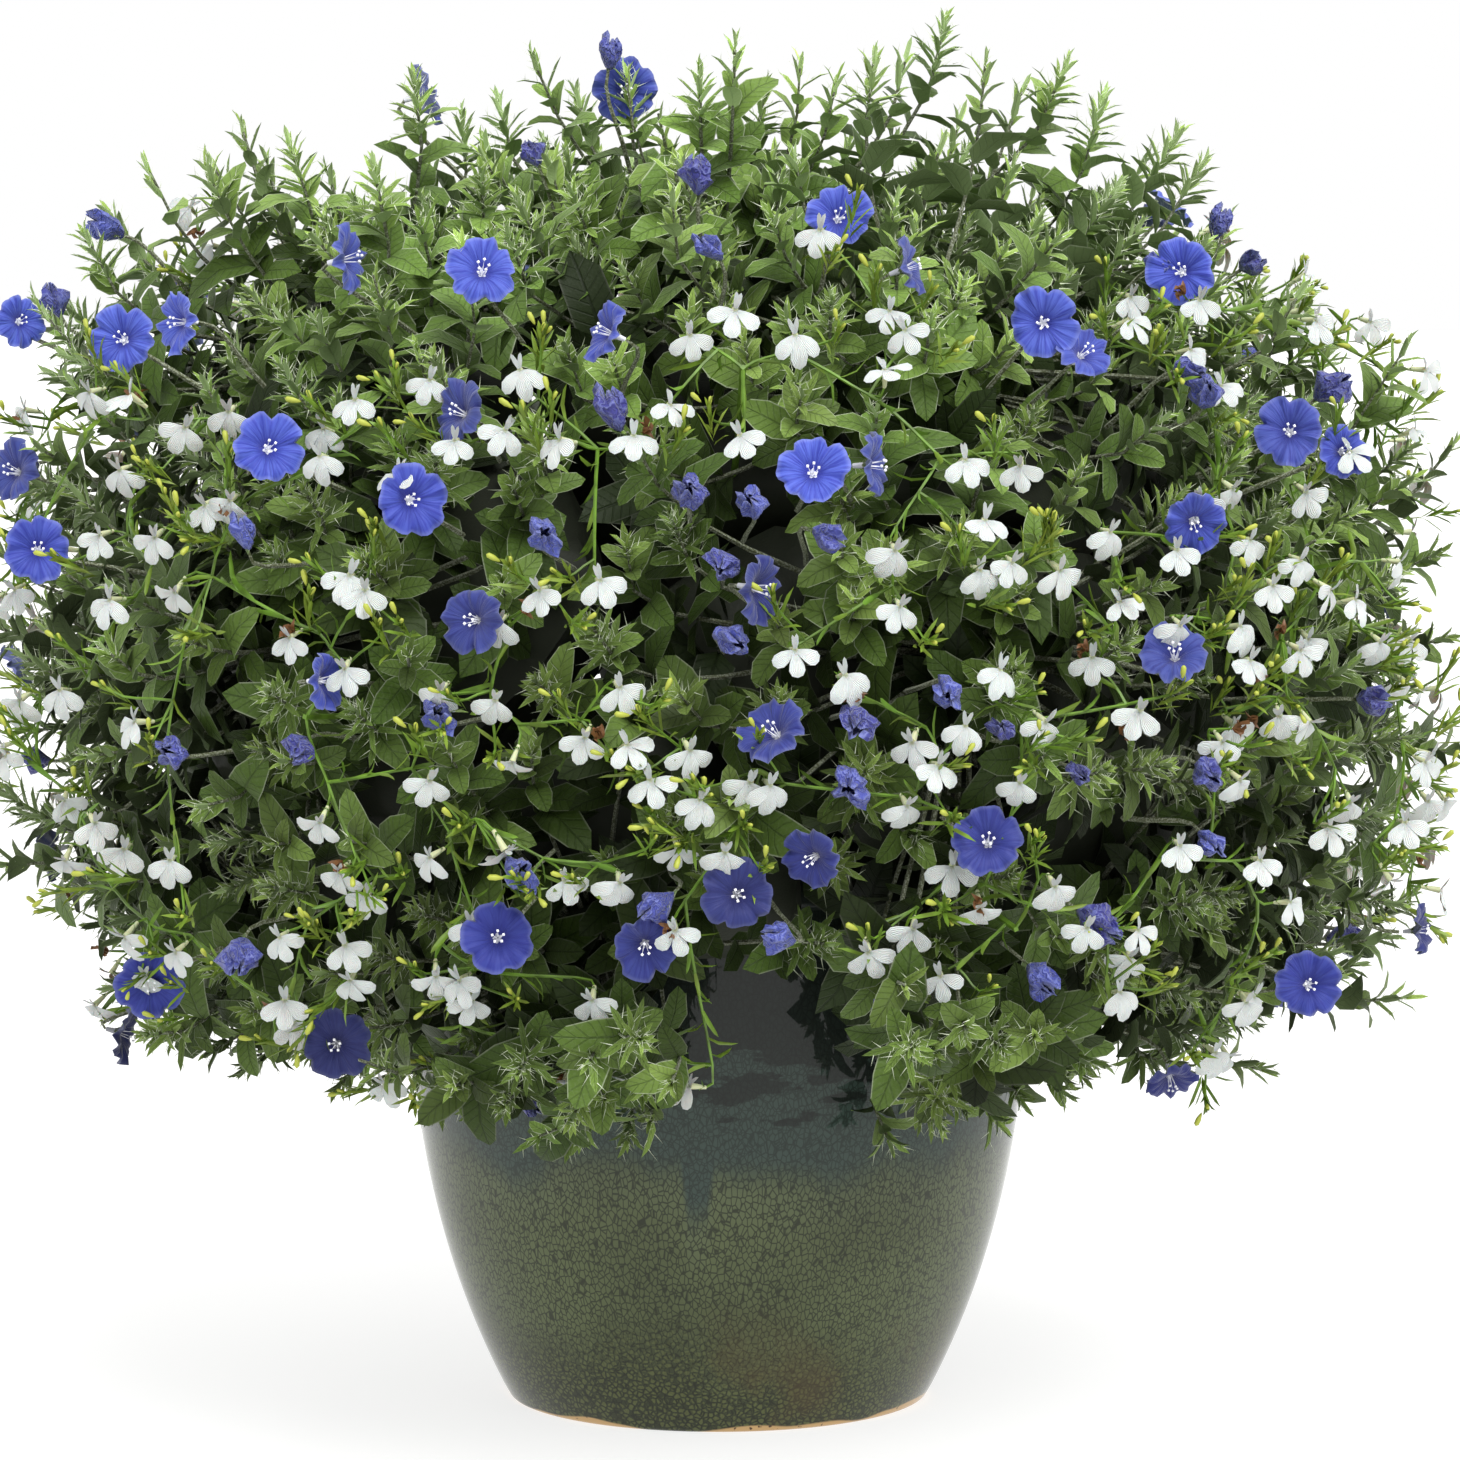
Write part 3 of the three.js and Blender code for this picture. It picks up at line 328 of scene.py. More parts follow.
class LobeliaSettings(bpy.types.PropertyGroup):
    lobe_length: length_property("Lobe length", "Length of a flower's broad lower lobe", 11.5 * MM)
    white: colour_property("Petal", "White of the flowers", "#dddfdc")
    bud: colour_property("Bud", "Yellow-green of buds and throats", "#a3ab3e")
    green: colour_property("Green", "Bright green of stems and narrow leaves", "#61882a")


class StageSettings(bpy.types.PropertyGroup):
    floor: colour_property("Floor", "Pale floor of a light table", "#969694")
    glow: FloatProperty(name="Table light", description="Light from under the floor", default=0.74, min=0)
    sky: FloatProperty(name="Room light", description="Strength of the even white light", default=1.0, min=0)
    key: FloatProperty(name="Key light", description="Strength of the soft key light", default=3.2, min=0)


# Materials

# Settings of a Map Range node with a smooth step, and of a Mix node, whose colours are inputs 6 and 7 and output 2
SMOOTH = {"interpolation_type": "SMOOTHSTEP"}
MIX = {"data_type": "RGBA", "out": 2}


def give(tree, socket, value):
    """Gives a socket a link or a value of its own, and a colour its alpha."""
    if isinstance(value, bpy.types.NodeSocket):
        tree.links.new(value, socket)
    else:
        socket.default_value = (*value[:3], 1) if socket.type == "RGBA" else value


def add_node(tree, kind, inputs=(), out=0, to=None, **settings):
    """Adds a shader node to a tree with its settings, gives its inputs, in their order or by name, a value or a link
    each, and returns one of its outputs, or all of them if out is None. It links that output to a socket if asked."""
    made = tree.nodes.new("ShaderNode" + kind)
    for name, value in settings.items():
        setattr(made, name, value)
    for key, value in inputs.items() if isinstance(inputs, dict) else enumerate(inputs):
        give(tree, made.inputs[key], value)
    if to is not None:
        tree.links.new(made.outputs[out], to)
    return made.outputs if out is None else made.outputs[out]


def new_material(name, **values):
    """A material with the Principled shader, whose uniform values are set on the shader's own sockets. Returns it
    with the shader and with add_node for its tree."""
    material = bpy.data.materials.new(name)
    material.use_nodes = True
    tree = material.node_tree
    shader = tree.nodes["Principled BSDF"]
    for key, value in values.items():
        give(tree, shader.inputs[key.replace("_", " ")], value)
    return material, shader, partial(add_node, tree)


def blade_parts(add):
    """How far a point of a blade lies from its midrib (0 to 1), how far along, and 1 on its underside."""
    across, along, _ = add("SeparateXYZ", (add("UVMap", uv_map="UVMap"),), None)
    inner = add("Math", (across,), operation="FRACT")
    centred = add("Math", (inner, 2.0, -1.0), operation="MULTIPLY_ADD")
    under = add("Math", (across, 1.0), operation="GREATER_THAN")
    return add("Math", (centred,), operation="ABSOLUTE"), along, under


def petal_parts(add):
    """A point's turn round its bloom, its share out from the throat to the edge, and 1 on the bloom's back."""
    turn, out, _ = add("SeparateXYZ", (add("UVMap", uv_map="UVMap"),), None)
    from_behind = add("Math", (3.0, out), operation="SUBTRACT")
    share = add("Math", (out, from_behind), operation="MINIMUM")
    return turn, share, add("Math", (out, 1.001), operation="GREATER_THAN")


def tone_parts(add):
    """A copy's light tone, which carries painted light and shade besides tone that differs at random, its youth and
    its dryness, each from 0 to 1.
    """
    return add("SeparateColor", (add("Attribute", out="Color", attribute_name="tone"),), None)


def leaf_material(settings):
    """Living leaf: matt green with sunk veins in painted shade, a pale fringe of hairs at the edge and a grey-green
    underside.
    """
    material, shader, add = new_material(
        "evolvulus_leaf_living", Roughness=0.45, Specular_IOR_Level=0.16, Sheen_Weight=0.03, Sheen_Roughness=0.6,
        Sheen_Tint=settings.hair, IOR=1.42)
    rib, along, under = blade_parts(add)
    light, youth, dryness = tone_parts(add)
    colour = add("Mix", {0: youth, 6: settings.old_green, 7: settings.young_green}, **MIX)
    rows = add("Math", (along, 8.0), operation="MULTIPLY")
    slanted = add("Math", (rib, -1.5, rows), operation="MULTIPLY_ADD")
    turned = add("Math", (slanted, 2 * math.pi), operation="MULTIPLY")
    wave = add("Math", (turned,), operation="SINE")
    side_veins = add("MapRange", (wave, 0.72, 1.0, 0.0, 0.6), **SMOOTH)
    midrib = add("MapRange", (rib, 0.02, 0.1, 1.0, 0.0), **SMOOTH)
    veins = add("Math", (side_veins, midrib), operation="MAXIMUM")
    # Painted shade: the sunk veins and midrib are darkened towards a near-black green
    dark = add("Mix", {0: 0.55, 6: colour, 7: VEIN_SHADE}, **MIX)
    painted_vein_shade = add("Math", (veins, 0.75), operation="MULTIPLY")
    # The down of a real leaf is finer, and is drawn as coarse as it needs to show
    down = add("TexNoise", {"Vector": add("TexCoord", out="Object"), "Scale": 1 / (1.1 * MM), "Detail": 2.0})
    downy = add("MapRange", (down, 0.45, 0.72, 0.0, 0.22), **SMOOTH)
    below = add("Math", (under, 0.8), operation="MULTIPLY")
    fringe = add("MapRange", (rib, 0.9, 1.0, 0.0, 0.55), **SMOOTH)
    for share, over in ((painted_vein_shade, dark), (downy, settings.underside), (below, settings.underside),
                        (fringe, settings.hair), (dryness, DRY["leaf"])):
        colour = add("Mix", {0: share, 6: colour, 7: over}, **MIX)
    # Painted light and shade: the colour is scaled by the copy's light tone, darker deep in the bush and lighter near
    # its top
    level = add("Math", (light, 1.15, 0.06), operation="MULTIPLY_ADD")
    add("VectorMath", {0: colour, "Scale": level}, to=shader.inputs["Base Color"], operation="SCALE")
    rough = add("Math", (down, 0.5), operation="MULTIPLY")
    height = add("Math", (veins, -1.0, rough), operation="MULTIPLY_ADD")
    add("Bump", {"Height": height, "Distance": 0.4 * MM, "Strength": 0.7}, to=shader.inputs["Normal"])
    return material


def stem_material(settings):
    """Soft stem: beige-olive skin under a felt of short pale hairs, darkened by painted shade through the copy's
    light tone.
    """
    material, shader, add = new_material("evolvulus_stem_downy", Roughness=0.75, Sheen_Weight=0.1)
    # The hairs of a real stem stand closer, and are drawn as coarse as they need to show
    felt = add("TexNoise", {"Vector": add("TexCoord", out="Object"), "Scale": 1 / (0.8 * MM), "Detail": 2.0})
    hairy = add("MapRange", (felt, 0.4, 0.7), **SMOOTH)
    colour = add("Mix", {0: hairy, 6: settings.stem, 7: settings.hair}, **MIX)
    # Painted shade: the colour is scaled by the copy's light tone
    level = tone_parts(add)[0]
    add("VectorMath", {0: colour, "Scale": level}, to=shader.inputs["Base Color"], operation="SCALE")
    add("Bump", {"Height": felt, "Distance": 0.2 * MM, "Strength": 1.0}, to=shader.inputs["Normal"])
    return material


def hair_material(settings):
    """Plant hairs: silvery and bright against the leaves, paler and brighter with painted light and darker with
    painted shade.
    """
    material, shader, add = new_material("evolvulus_hair_silvery", Roughness=0.5)
    # Painted light and shade: the copy's light tone makes hairs paler and brighter or darker
    light = tone_parts(add)[0]
    shown = add("Math", (light, 0.5, 0.5), operation="MULTIPLY_ADD")
    colour = add("Mix", {0: shown, 6: settings.underside, 7: settings.hair}, **MIX)
    level = add("Math", (light, 0.75, 0.4), operation="MULTIPLY_ADD")
    add("VectorMath", {0: colour, "Scale": level}, to=shader.inputs["Base Color"], operation="SCALE")
    return material


def bloom_material(settings):
    """Living petal: velvety blue, darker along its folds and paler at its edge, with a white star in the throat."""
    material, shader, add = new_material("evolvulus_petal_living", Roughness=0.6, Sheen_Weight=0.2, IOR=1.4)
    turn, share, is_back = petal_parts(add)
    light, deep, _ = tone_parts(add)
    fifths = add("Math", (turn, 5.0), operation="MULTIPLY")
    within = add("Math", (fifths,), operation="FRACT")
    centred = add("Math", (within, 2.0, -1.0), operation="MULTIPLY_ADD")
    gap = add("Math", (centred,), operation="ABSOLUTE")
    rays = add("CombineXYZ", (add("Math", (turn, 70.0), operation="MULTIPLY"), share, light))
    ray = add("TexNoise", {"Vector": rays, "Scale": 1.0, "Detail": 3.0})
    dark = add("MapRange", (ray, 0.4, 0.68, 0.0, 0.75), **SMOOTH)
    for value, *steps in ((gap, 0.72, 1.0, 0.0, 0.6), (share, 0.16, 0.5, 0.85, 0.0)):
        dark = add("Math", (dark, add("MapRange", (value, *steps), **SMOOTH)), operation="MAXIMUM")
    # Painted shade: lower blooms are mixed towards the pleat blue, with some random tone
    painted_low_shade_and_tone = add("Math", (deep, 0.75), operation="MULTIPLY")
    colour = add("Mix", {0: painted_low_shade_and_tone, 6: settings.petal, 7: settings.pleat}, **MIX)
    edge = add("MapRange", (share, 0.84, 1.0, 0.0, 0.35), **SMOOTH)
    star = add("Math", (gap, -0.07, 0.15), operation="MULTIPLY_ADD")
    white = add("Math", (share, star), operation="LESS_THAN")
    behind = add("Math", (is_back, 0.75), operation="MULTIPLY")
    for part, over in ((dark, settings.pleat), (edge, settings.back), (white, WHITE["star"]),
                       (behind, settings.back)):
        colour = add("Mix", {0: part, 6: colour, 7: over}, **MIX)
    # Painted light and shade: the colour is scaled by the copy's light tone, lower blooms darker
    level = add("MapRange", (light, 0.0, 1.0, 0.25, 1.15), **SMOOTH)
    add("VectorMath", {0: colour, "Scale": level}, to=shader.inputs["Base Color"], operation="SCALE")
    add("Bump", {"Height": ray, "Distance": 0.8 * MM, "Strength": 0.8}, to=shader.inputs["Normal"])
    return material


def faded_material(settings):
    """Withered petal: thin violet-blue tissue, creased lengthwise, with paler lines on its creases and edge."""
    material, shader, add = new_material("evolvulus_petal_withered", Roughness=0.5, Sheen_Weight=0.2)
    turn, share, _ = petal_parts(add)
    light = tone_parts(add)[0]
    wander = add("TexNoise", {"Vector": add("TexCoord", out="Object"), "Scale": 1 / (4 * MM), "Detail": 2.0})
    strayed = add("Math", (wander, 5.0), operation="MULTIPLY")
    around = add("Math", (turn, 14.0, strayed), operation="MULTIPLY_ADD")
    outwards = add("Math", (share, 2.5), operation="MULTIPLY")
    creased = add("CombineXYZ", (around, outwards, light))
    edges = add("TexVoronoi", {"Vector": creased, "Scale": 1.0}, feature="DISTANCE_TO_EDGE")
    rim = add("MapRange", (share, 0.9, 1.0, 0.0, 0.5), **SMOOTH)
    creases = add("MapRange", (edges, 0.0, 0.1, 0.4, 0.0), **SMOOTH)
    lines = add("Math", (creases, rim), operation="MAXIMUM")
    fresh = add("Math", (light, 0.7), operation="MULTIPLY")
    body = add("Mix", {0: fresh, 6: settings.faded, 7: settings.petal}, **MIX)
    add("Mix", {0: lines, 6: body, 7: settings.back}, to=shader.inputs["Base Color"], **MIX)
    ridges = add("MapRange", (edges, 0.0, 0.4, 1.0, 0.0), **SMOOTH)
    add("Bump", {"Height": ridges, "Distance": 1.0 * MM, "Strength": 1.0}, to=shader.inputs["Normal"])
    return material


def lobelia_petal_material(settings):
    """Living petal: soft matt white with fine lengthwise veins and a yellow-green spot at the throat."""
    material, shader, add = new_material(
        "lobelia_petal_living", Roughness=0.55, Sheen_Weight=0.15, IOR=1.4, Subsurface_Weight=0.12,
        Subsurface_Scale=1.5 * MM)
    rib, along, _ = blade_parts(add)
    turned = add("Math", (rib, 9 * math.pi), operation="MULTIPLY")
    veins = add("Math", (turned,), operation="COSINE")
    throat = add("MapRange", (along, 0.02, 0.14, 0.6, 0.0), **SMOOTH)
    add("Mix", {0: throat, 6: settings.white, 7: settings.bud}, to=shader.inputs["Base Color"], **MIX)
    add("Bump", {"Height": veins, "Distance": 0.25 * MM, "Strength": 0.8}, to=shader.inputs["Normal"])
    return material


def lobelia_green_material(settings):
    """Living stem and narrow leaf: bright, slightly glossy yellow-green."""
    material, shader, add = new_material("lobelia_leaf_living", Roughness=0.45, IOR=1.42)
    _, youth, dryness = tone_parts(add)
    mottle = add("TexNoise", {"Vector": add("TexCoord", out="Object"), "Scale": 1 / (9 * MM), "Detail": 2.0})
    paler = add("MapRange", (mottle, 0.35, 0.65), **SMOOTH)
    deep = [0.45 * c for c in settings.green]
    colour = add("Mix", {0: paler, 6: deep, 7: settings.green}, **MIX)
    young = add("Math", (youth, 0.45), operation="MULTIPLY")
    colour = add("Mix", {0: young, 6: colour, 7: settings.bud}, **MIX)
    add("Mix", {0: dryness, 6: colour, 7: DRY["green"]}, to=shader.inputs["Base Color"], **MIX)
    return material


def glaze_material(settings):
    """Stoneware glaze: a dark glassy coat, crackled into fine upright cells, that pools olive below and blue-green
    above with one drip, darkens almost to black below the rim with painted shade of the bush, breaks into paler
    specks near the base and stops short of the bare clay foot."""
    material, shader, add = new_material(
        "stoneware_glaze_crackled", Roughness=0.55, IOR=1.5, Specular_IOR_Level=0.1, Coat_Weight=0.85,
        Coat_Roughness=0.03, Coat_IOR=1.36)
    place = add("TexCoord", out="Object")
    across, _, height = add("SeparateXYZ", (place,), None)
    # Blotches, as (upright squeeze, size, detail)
    blotches = []
    for squeeze, size, detail in ((0.35, 55, 4.0), (3.0, 30, 5.0), (0.5, 35, 3.0), (3.5, 26, 2.0)):
        squeezed = add("Mapping", {"Vector": place, "Scale": (1, 1, squeeze)})
        blotches.append(add("TexNoise", {"Vector": squeezed, "Scale": 1 / (size * MM), "Detail": detail}))
    drift, ragged, rusty, throwing = blotches
    cloud, foot_line, flecks = (
        add("TexNoise", {"Vector": place, "Scale": 1 / (size * MM), "Detail": detail})
        for size, detail in ((60, 4.0), (80, 2.0), (4, 2.0))
    )
    upright = add("Mapping", {"Vector": place, "Scale": (1, 1, 0.6)})
    fine, wide, speck = (
        add("TexVoronoi", {"Vector": cells, "Scale": 1 / (size * MM)}, feature="DISTANCE_TO_EDGE")
        for cells, size in ((upright, 2.0), (place, 5.0), (place, 2.3))
    )
    # The line between the two glazes, with its drip and a paler band below it
    beside_drip = add("Math", (across, DRIP_PLACE), operation="SUBTRACT")
    from_drip = add("Math", (beside_drip,), operation="ABSOLUTE")
    drip = add("MapRange", (from_drip, 3 * MM, 7.5 * MM, DRIP_LENGTH, 0.0), **SMOOTH)
    drifting = add("Math", (drift, 50 * MM, height), operation="MULTIPLY_ADD")
    edge = add("Math", (drifting, drip), operation="ADD")
    upper = add("MapRange", (edge, GLAZE_LINE - 8 * MM, GLAZE_LINE + 12 * MM), **SMOOTH)
    above_band = add("Math", (edge, GLAZE_LINE - 8 * MM), operation="SUBTRACT")
    from_band = add("Math", (above_band,), operation="ABSOLUTE")
    band = add("MapRange", (from_band, 0.0, 16 * MM, 0.3, 0.0), **SMOOTH)
    # The olive glaze of the lower pot, with cracks, specks low down and rust
    pale = add("MapRange", (cloud, 0.35, 0.65), **SMOOTH)
    olive = add("Mix", {0: pale, 6: settings.lower_glaze, 7: GLAZE["pale_olive"]}, **MIX)
    fine_cracks = add("MapRange", (fine, 0.02, 0.15, 0.8, 0.0), **SMOOTH)
    low_height = add("Math", (cloud, 40 * MM, height), operation="MULTIPLY_ADD")
    low_down = add("MapRange", (low_height, 30 * MM, 80 * MM, 0.75, 0.0), **SMOOTH)
    specks = add("MapRange", (speck, 0.08, 0.24), **SMOOTH)
    spots = add("Mix", {0: specks, 6: GLAZE["dark_spot"], 7: GLAZE["pale_spot"]}, **MIX)
    rust = add("MapRange", (rusty, 0.5, 0.72, 0.0, 0.4), **SMOOTH)
    near_foot = add("MapRange", (height, 10 * MM, 70 * MM, 1.0, 0.0), **SMOOTH)
    rust = add("Math", (rust, near_foot), operation="MULTIPLY")
    for share, over in ((band, GLAZE["band"]), (fine_cracks, GLAZE["crack"]), (low_down, spots),
                        (rust, GLAZE["rust"])):
        olive = add("Mix", {0: share, 6: olive, 7: over}, **MIX)
    # The blue glaze of the upper pot, with painted shade of the bush almost black below the rim
    ragged_height = add("Math", (ragged, 110 * MM, height), operation="MULTIPLY_ADD")
    pooled = add("MapRange", (ragged_height, 198 * MM, 202 * MM, 0.0, 0.8), **SMOOTH)
    blue = add("Mix", {0: pooled, 6: settings.upper_glaze, 7: GLAZE["pooled"]}, **MIX)
    faint_cracks = add("Math", (fine_cracks, 0.7), operation="MULTIPLY")
    wide_cracks = add("MapRange", (wide, 0.01, 0.05, 0.6, 0.0), **SMOOTH)
    blue_cracks = add("Math", (faint_cracks, wide_cracks), operation="MAXIMUM")
    blue = add("Mix", {0: blue_cracks, 6: blue, 7: GLAZE["blue_crack"]}, **MIX)
    colour = add("Mix", {0: upper, 6: olive, 7: blue}, **MIX)
    # The bare clay of the foot
    bare_height = add("Math", (foot_line, -20 * MM, height), operation="MULTIPLY_ADD")
    bare = add("MapRange", (bare_height, -8.5 * MM, -7.5 * MM, 1.0, 0.0), **SMOOTH)
    chips = add("MapRange", (flecks, 0.64, 0.7), **SMOOTH)
    clay = add("Mix", {0: chips, 6: settings.clay, 7: GLAZE["chip"]}, **MIX)
    add("Mix", {0: bare, 6: colour, 7: clay}, to=shader.inputs["Base Color"], **MIX)
    relief = add("Math", (fine_cracks, -0.03, throwing), operation="MULTIPLY_ADD")
    relief = add("Math", (bare, -0.4, relief), operation="MULTIPLY_ADD")
    add("Bump", {"Height": relief, "Distance": 0.9 * MM, "Strength": 0.5}, to=shader.inputs["Normal"])
    return material


def soil_material(settings):
    """Potting soil: dark damp crumbs with paler grains."""
    material, shader, add = new_material("potting_soil_damp", Roughness=0.95)
    place = add("TexCoord", out="Object")
    crumbs, grit = (
        add("TexNoise", {"Vector": place, "Scale": 1 / (size * MM), "Detail": detail})
        for size, detail in ((3, 5.0), (5, 1.0))
    )
    grains = add("MapRange", (grit, 0.68, 0.7), **SMOOTH)
    colour = add("Mix", {0: crumbs, 6: [0.4 * c for c in settings.soil], 7: settings.soil}, **MIX)
    add("Mix", {0: grains, 6: colour, 7: GRAIN}, to=shader.inputs["Base Color"], **MIX)
    add("Bump", {"Height": crumbs, "Distance": 1.5 * MM, "Strength": 1.0}, to=shader.inputs["Normal"])
    return material


# Shapes that are copied many times


class Shape:
    """A small mesh kept as arrays of its points, triangles, uvs and materials."""

    def __init__(self, bm):
        bmesh.ops.triangulate(bm, faces=bm.faces)
        bmesh.ops.recalc_face_normals(bm, faces=bm.faces)
        bm.verts.index_update()
        layer = bm.loops.layers.uv.verify()
        self.points = np.array([vert.co for vert in bm.verts])
        self.corners = np.array([[loop.vert.index for loop in face.loops] for face in bm.faces])
        self.uvs = np.array([[loop[layer].uv for loop in face.loops] for face in bm.faces])
        self.materials = np.array([face.material_index for face in bm.faces])
        bm.free()


class Growth:
    """The copies of shapes that make up one piece."""

    def __init__(self, *materials):
        self.materials = materials
        self.copies = {}

    def add(self, shape, matrix=Matrix.Identity(4), tone=(0.5, 0, 0)):
        self.copies.setdefault(shape, []).append((matrix, tone))

    def mesh(self, name):
        points, corners, uvs, slots, tones = [], [], [], [], []
        first = 0
        for shape, copies in self.copies.items():
            matrices = np.array([matrix for matrix, _ in copies])
            count = len(shape.points)
            moved = np.einsum("nij,pj->npi", matrices[:, :3, :3], shape.points) + matrices[:, None, :3, 3]
            starts = first + count * np.arange(len(copies))
            points.append(moved.reshape(-1, 3))
            corners.append((shape.corners[None] + starts[:, None, None]).reshape(-1))
            uvs.append(np.tile(shape.uvs.reshape(-1), len(copies)))
            slots.append(np.tile(shape.materials, len(copies)))
            tones.append(np.repeat([(*tone, 1) for _, tone in copies], count, axis=0).reshape(-1))
            first += count * len(copies)
        points, corners = np.concatenate(points), np.concatenate(corners)
        mesh = bpy.data.meshes.new(name)
        mesh.vertices.add(len(points))
        mesh.vertices.foreach_set("co", points.reshape(-1).astype(np.float32))
        mesh.loops.add(len(corners))
        mesh.loops.foreach_set("vertex_index", corners.astype(np.int32))
        mesh.polygons.add(len(corners) // 3)
        mesh.polygons.foreach_set("loop_start", np.arange(0, len(corners), 3, dtype=np.int32))
        mesh.polygons.foreach_set("material_index", np.concatenate(slots).astype(np.int32))
        mesh.update(calc_edges=True)
        mesh.uv_layers.new(name="UVMap").uv.foreach_set("vector", np.concatenate(uvs).astype(np.float32))
        tone = mesh.attributes.new("tone", "FLOAT_COLOR", "POINT")
        tone.data.foreach_set("color", np.concatenate(tones).astype(np.float32))
        mesh.set_sharp_from_angle(angle=math.radians(75))
        for material in self.materials:
            mesh.materials.append(material)
        return mesh


def mesh_from(bm, name, *materials):
    """Turns a finished bmesh into a mesh."""
    mesh = bpy.data.meshes.new(name)
    bm.to_mesh(mesh)
    bm.free()
    for material in materials:
        mesh.materials.append(material)
    return mesh


def add_piece(name, mesh, nodes):
    """Links a finished mesh as a piece that stands for nodes of the frame."""
    piece = bpy.data.objects.new(name, mesh)
    bpy.context.scene.collection.objects.link(piece)
    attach(piece, BODY)
    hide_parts(*nodes)
    return piece


def placing(place, along, facing, size=1.0):
    """The matrix that turns +Y along a direction and +Z as near as can be to facing, and moves the origin."""
    y = along.normalized()
    x = y.cross(facing)
    if x.length < 1e-5:
        x = y.orthogonal()
    x.normalize()
    z = x.cross(y)
    matrix = Matrix((x * size, y * size, z * size)).transposed().to_4x4()
    matrix.translation = place
    return matrix


def turned_about(axis, angle):
    return Matrix.Rotation(angle, 4, axis)


def paint(verts, material):
    """Gives the faces round some points a material."""
    for face in {face for vert in verts for face in vert.link_faces}:
        face.material_index = material


def add_blade(bm, form, matrix=Matrix.Identity(4), sections=6, material=0):
    """Adds a thin closed blade. form turns how far across (-1 to 1), along (0 to 1) and above (-1 to 1) a point
    lies into its place. Its uv is across and along, with 1 added across on the underside."""
    verts = bmesh.ops.create_uvsphere(bm, u_segments=4, v_segments=sections, radius=1)["verts"]
    layer = bm.loops.layers.uv.verify()
    for face in {face for vert in verts for face in vert.link_faces}:
        under = face.calc_center_median().y < 0
        face.material_index = material
        for loop in face.loops:
            across, above, _ = loop.vert.co
            wide = math.hypot(across, above)
            loop[layer].uv = (0.5 + (0.5 * across / wide if wide > 1e-4 else 0) + under, (loop.vert.co.z + 1) / 2)
    for vert in verts:
        vert.co = form(vert.co.x, (vert.co.z + 1) / 2, vert.co.y)
    bmesh.ops.transform(bm, matrix=matrix, verts=verts)


def blade_form(length, width, thickness, fold=0.2, arch=0.1, droop=0.1, broadest=0.0, wave=0.0):
    """The form of a blade: folded up along its midrib, arched, and broadest nearer its root or its tip."""

    def form(across, along, above):
        half = 0.5 * width * across * (1 + broadest * (2 * along - 1))
        rise = fold * abs(half) + length * (arch * math.sin(math.pi * along) - droop * along**2)
        ripple = wave * length * across * math.cos(2.5 * math.pi * along)
        return Vector((half, along * length, rise + ripple + 0.5 * thickness * above))

    return form


def add_needle(bm, root, tip, radius, material):
    """Adds a closed three-sided needle."""
    way = tip - root
    matrix = placing(root, way, UP) @ turned_about("X", -math.pi / 2)
    matrix = matrix @ Matrix.Translation((0, 0, way.length / 2))
    made = bmesh.ops.create_cone(
        bm, cap_ends=True, segments=3, radius1=radius, radius2=0, depth=way.length, matrix=matrix)["verts"]
    paint(made, material)


def leaf_shapes(settings, sections):
    """Full-grown leaves, each folded, arched and waved in its own way."""
    shapes = []
    for fold, arch, droop, wave, size in (
        (0.25, 0.1, 0.1, 0.01, 1.0), (0.1, 0.06, 0.22, -0.012, 0.85), (0.35, 0.14, -0.04, 0.015, 0.95),
        (0.15, 0.16, 0.3, 0.01, 1.25), (0.3, 0.04, 0.15, -0.01, 0.75),
    ):
        bm = bmesh.new()
        length, width = size * settings.leaf_length, size * settings.leaf_width
        form = blade_form(length, width, LEAF_THICKNESS, fold, arch, droop, -0.06, wave)
        add_blade(bm, form, sections=sections)
        shapes.append(Shape(bm))
    return shapes


def bract_shapes(settings):
    """Narrow leaves of a shoot's tip, fringed with long hairs."""
    shapes = []
    rng = Random(11)
    for fold, droop, width in ((0.5, -0.12, 3.0), (0.6, 0.08, 3.4), (0.4, 0.22, 2.8), (0.7, -0.02, 3.2)):
        bm = bmesh.new()
        form = blade_form(settings.bract_length, width * MM, NARROW_THICKNESS, fold, 0.06, droop, -0.14)
        add_blade(bm, form, sections=3)
        for k in range(4):
            side = -1 if k % 2 else 1
            along = 0.15 + 0.2 * k
            root = form(side * math.sin(math.pi * along) * 0.9, along, 0)
            way = Vector((side * rng.uniform(0.6, 1.0), rng.uniform(0.5, 1.0), rng.uniform(-0.4, 0.8)))
            add_needle(bm, root, root + way.normalized() * rng.uniform(4, 6.5) * MM, BRACT_HAIR, 2)
        shapes.append(Shape(bm))
    return shapes


def tubes(paths, material=0, roundness=0):
    """Closed round stems, each given as its points and the radius at each."""
    curve = bpy.data.curves.new("stems", "CURVE")
    curve.dimensions = "3D"
    curve.bevel_depth = 1
    curve.bevel_resolution = roundness
    curve.use_fill_caps = True
    for points, radii in paths:
        spline = curve.splines.new("POLY")
        spline.points.add(len(points) - 1)
        spline.points.foreach_set("co", [c for point in points for c in (*point, 1)])
        spline.points.foreach_set("radius", radii)
    holder = bpy.data.objects.new("stems", curve)
    mesh = bpy.data.meshes.new_from_object(holder)
    bm = bmesh.new()
    bm.from_mesh(mesh)
    bpy.data.objects.remove(holder)
    bpy.data.curves.remove(curve)
    bpy.data.meshes.remove(mesh)
    bmesh.ops.remove_doubles(bm, verts=bm.verts, dist=1e-6)
    for face in bm.faces:
        face.material_index = material
    return Shape(bm)


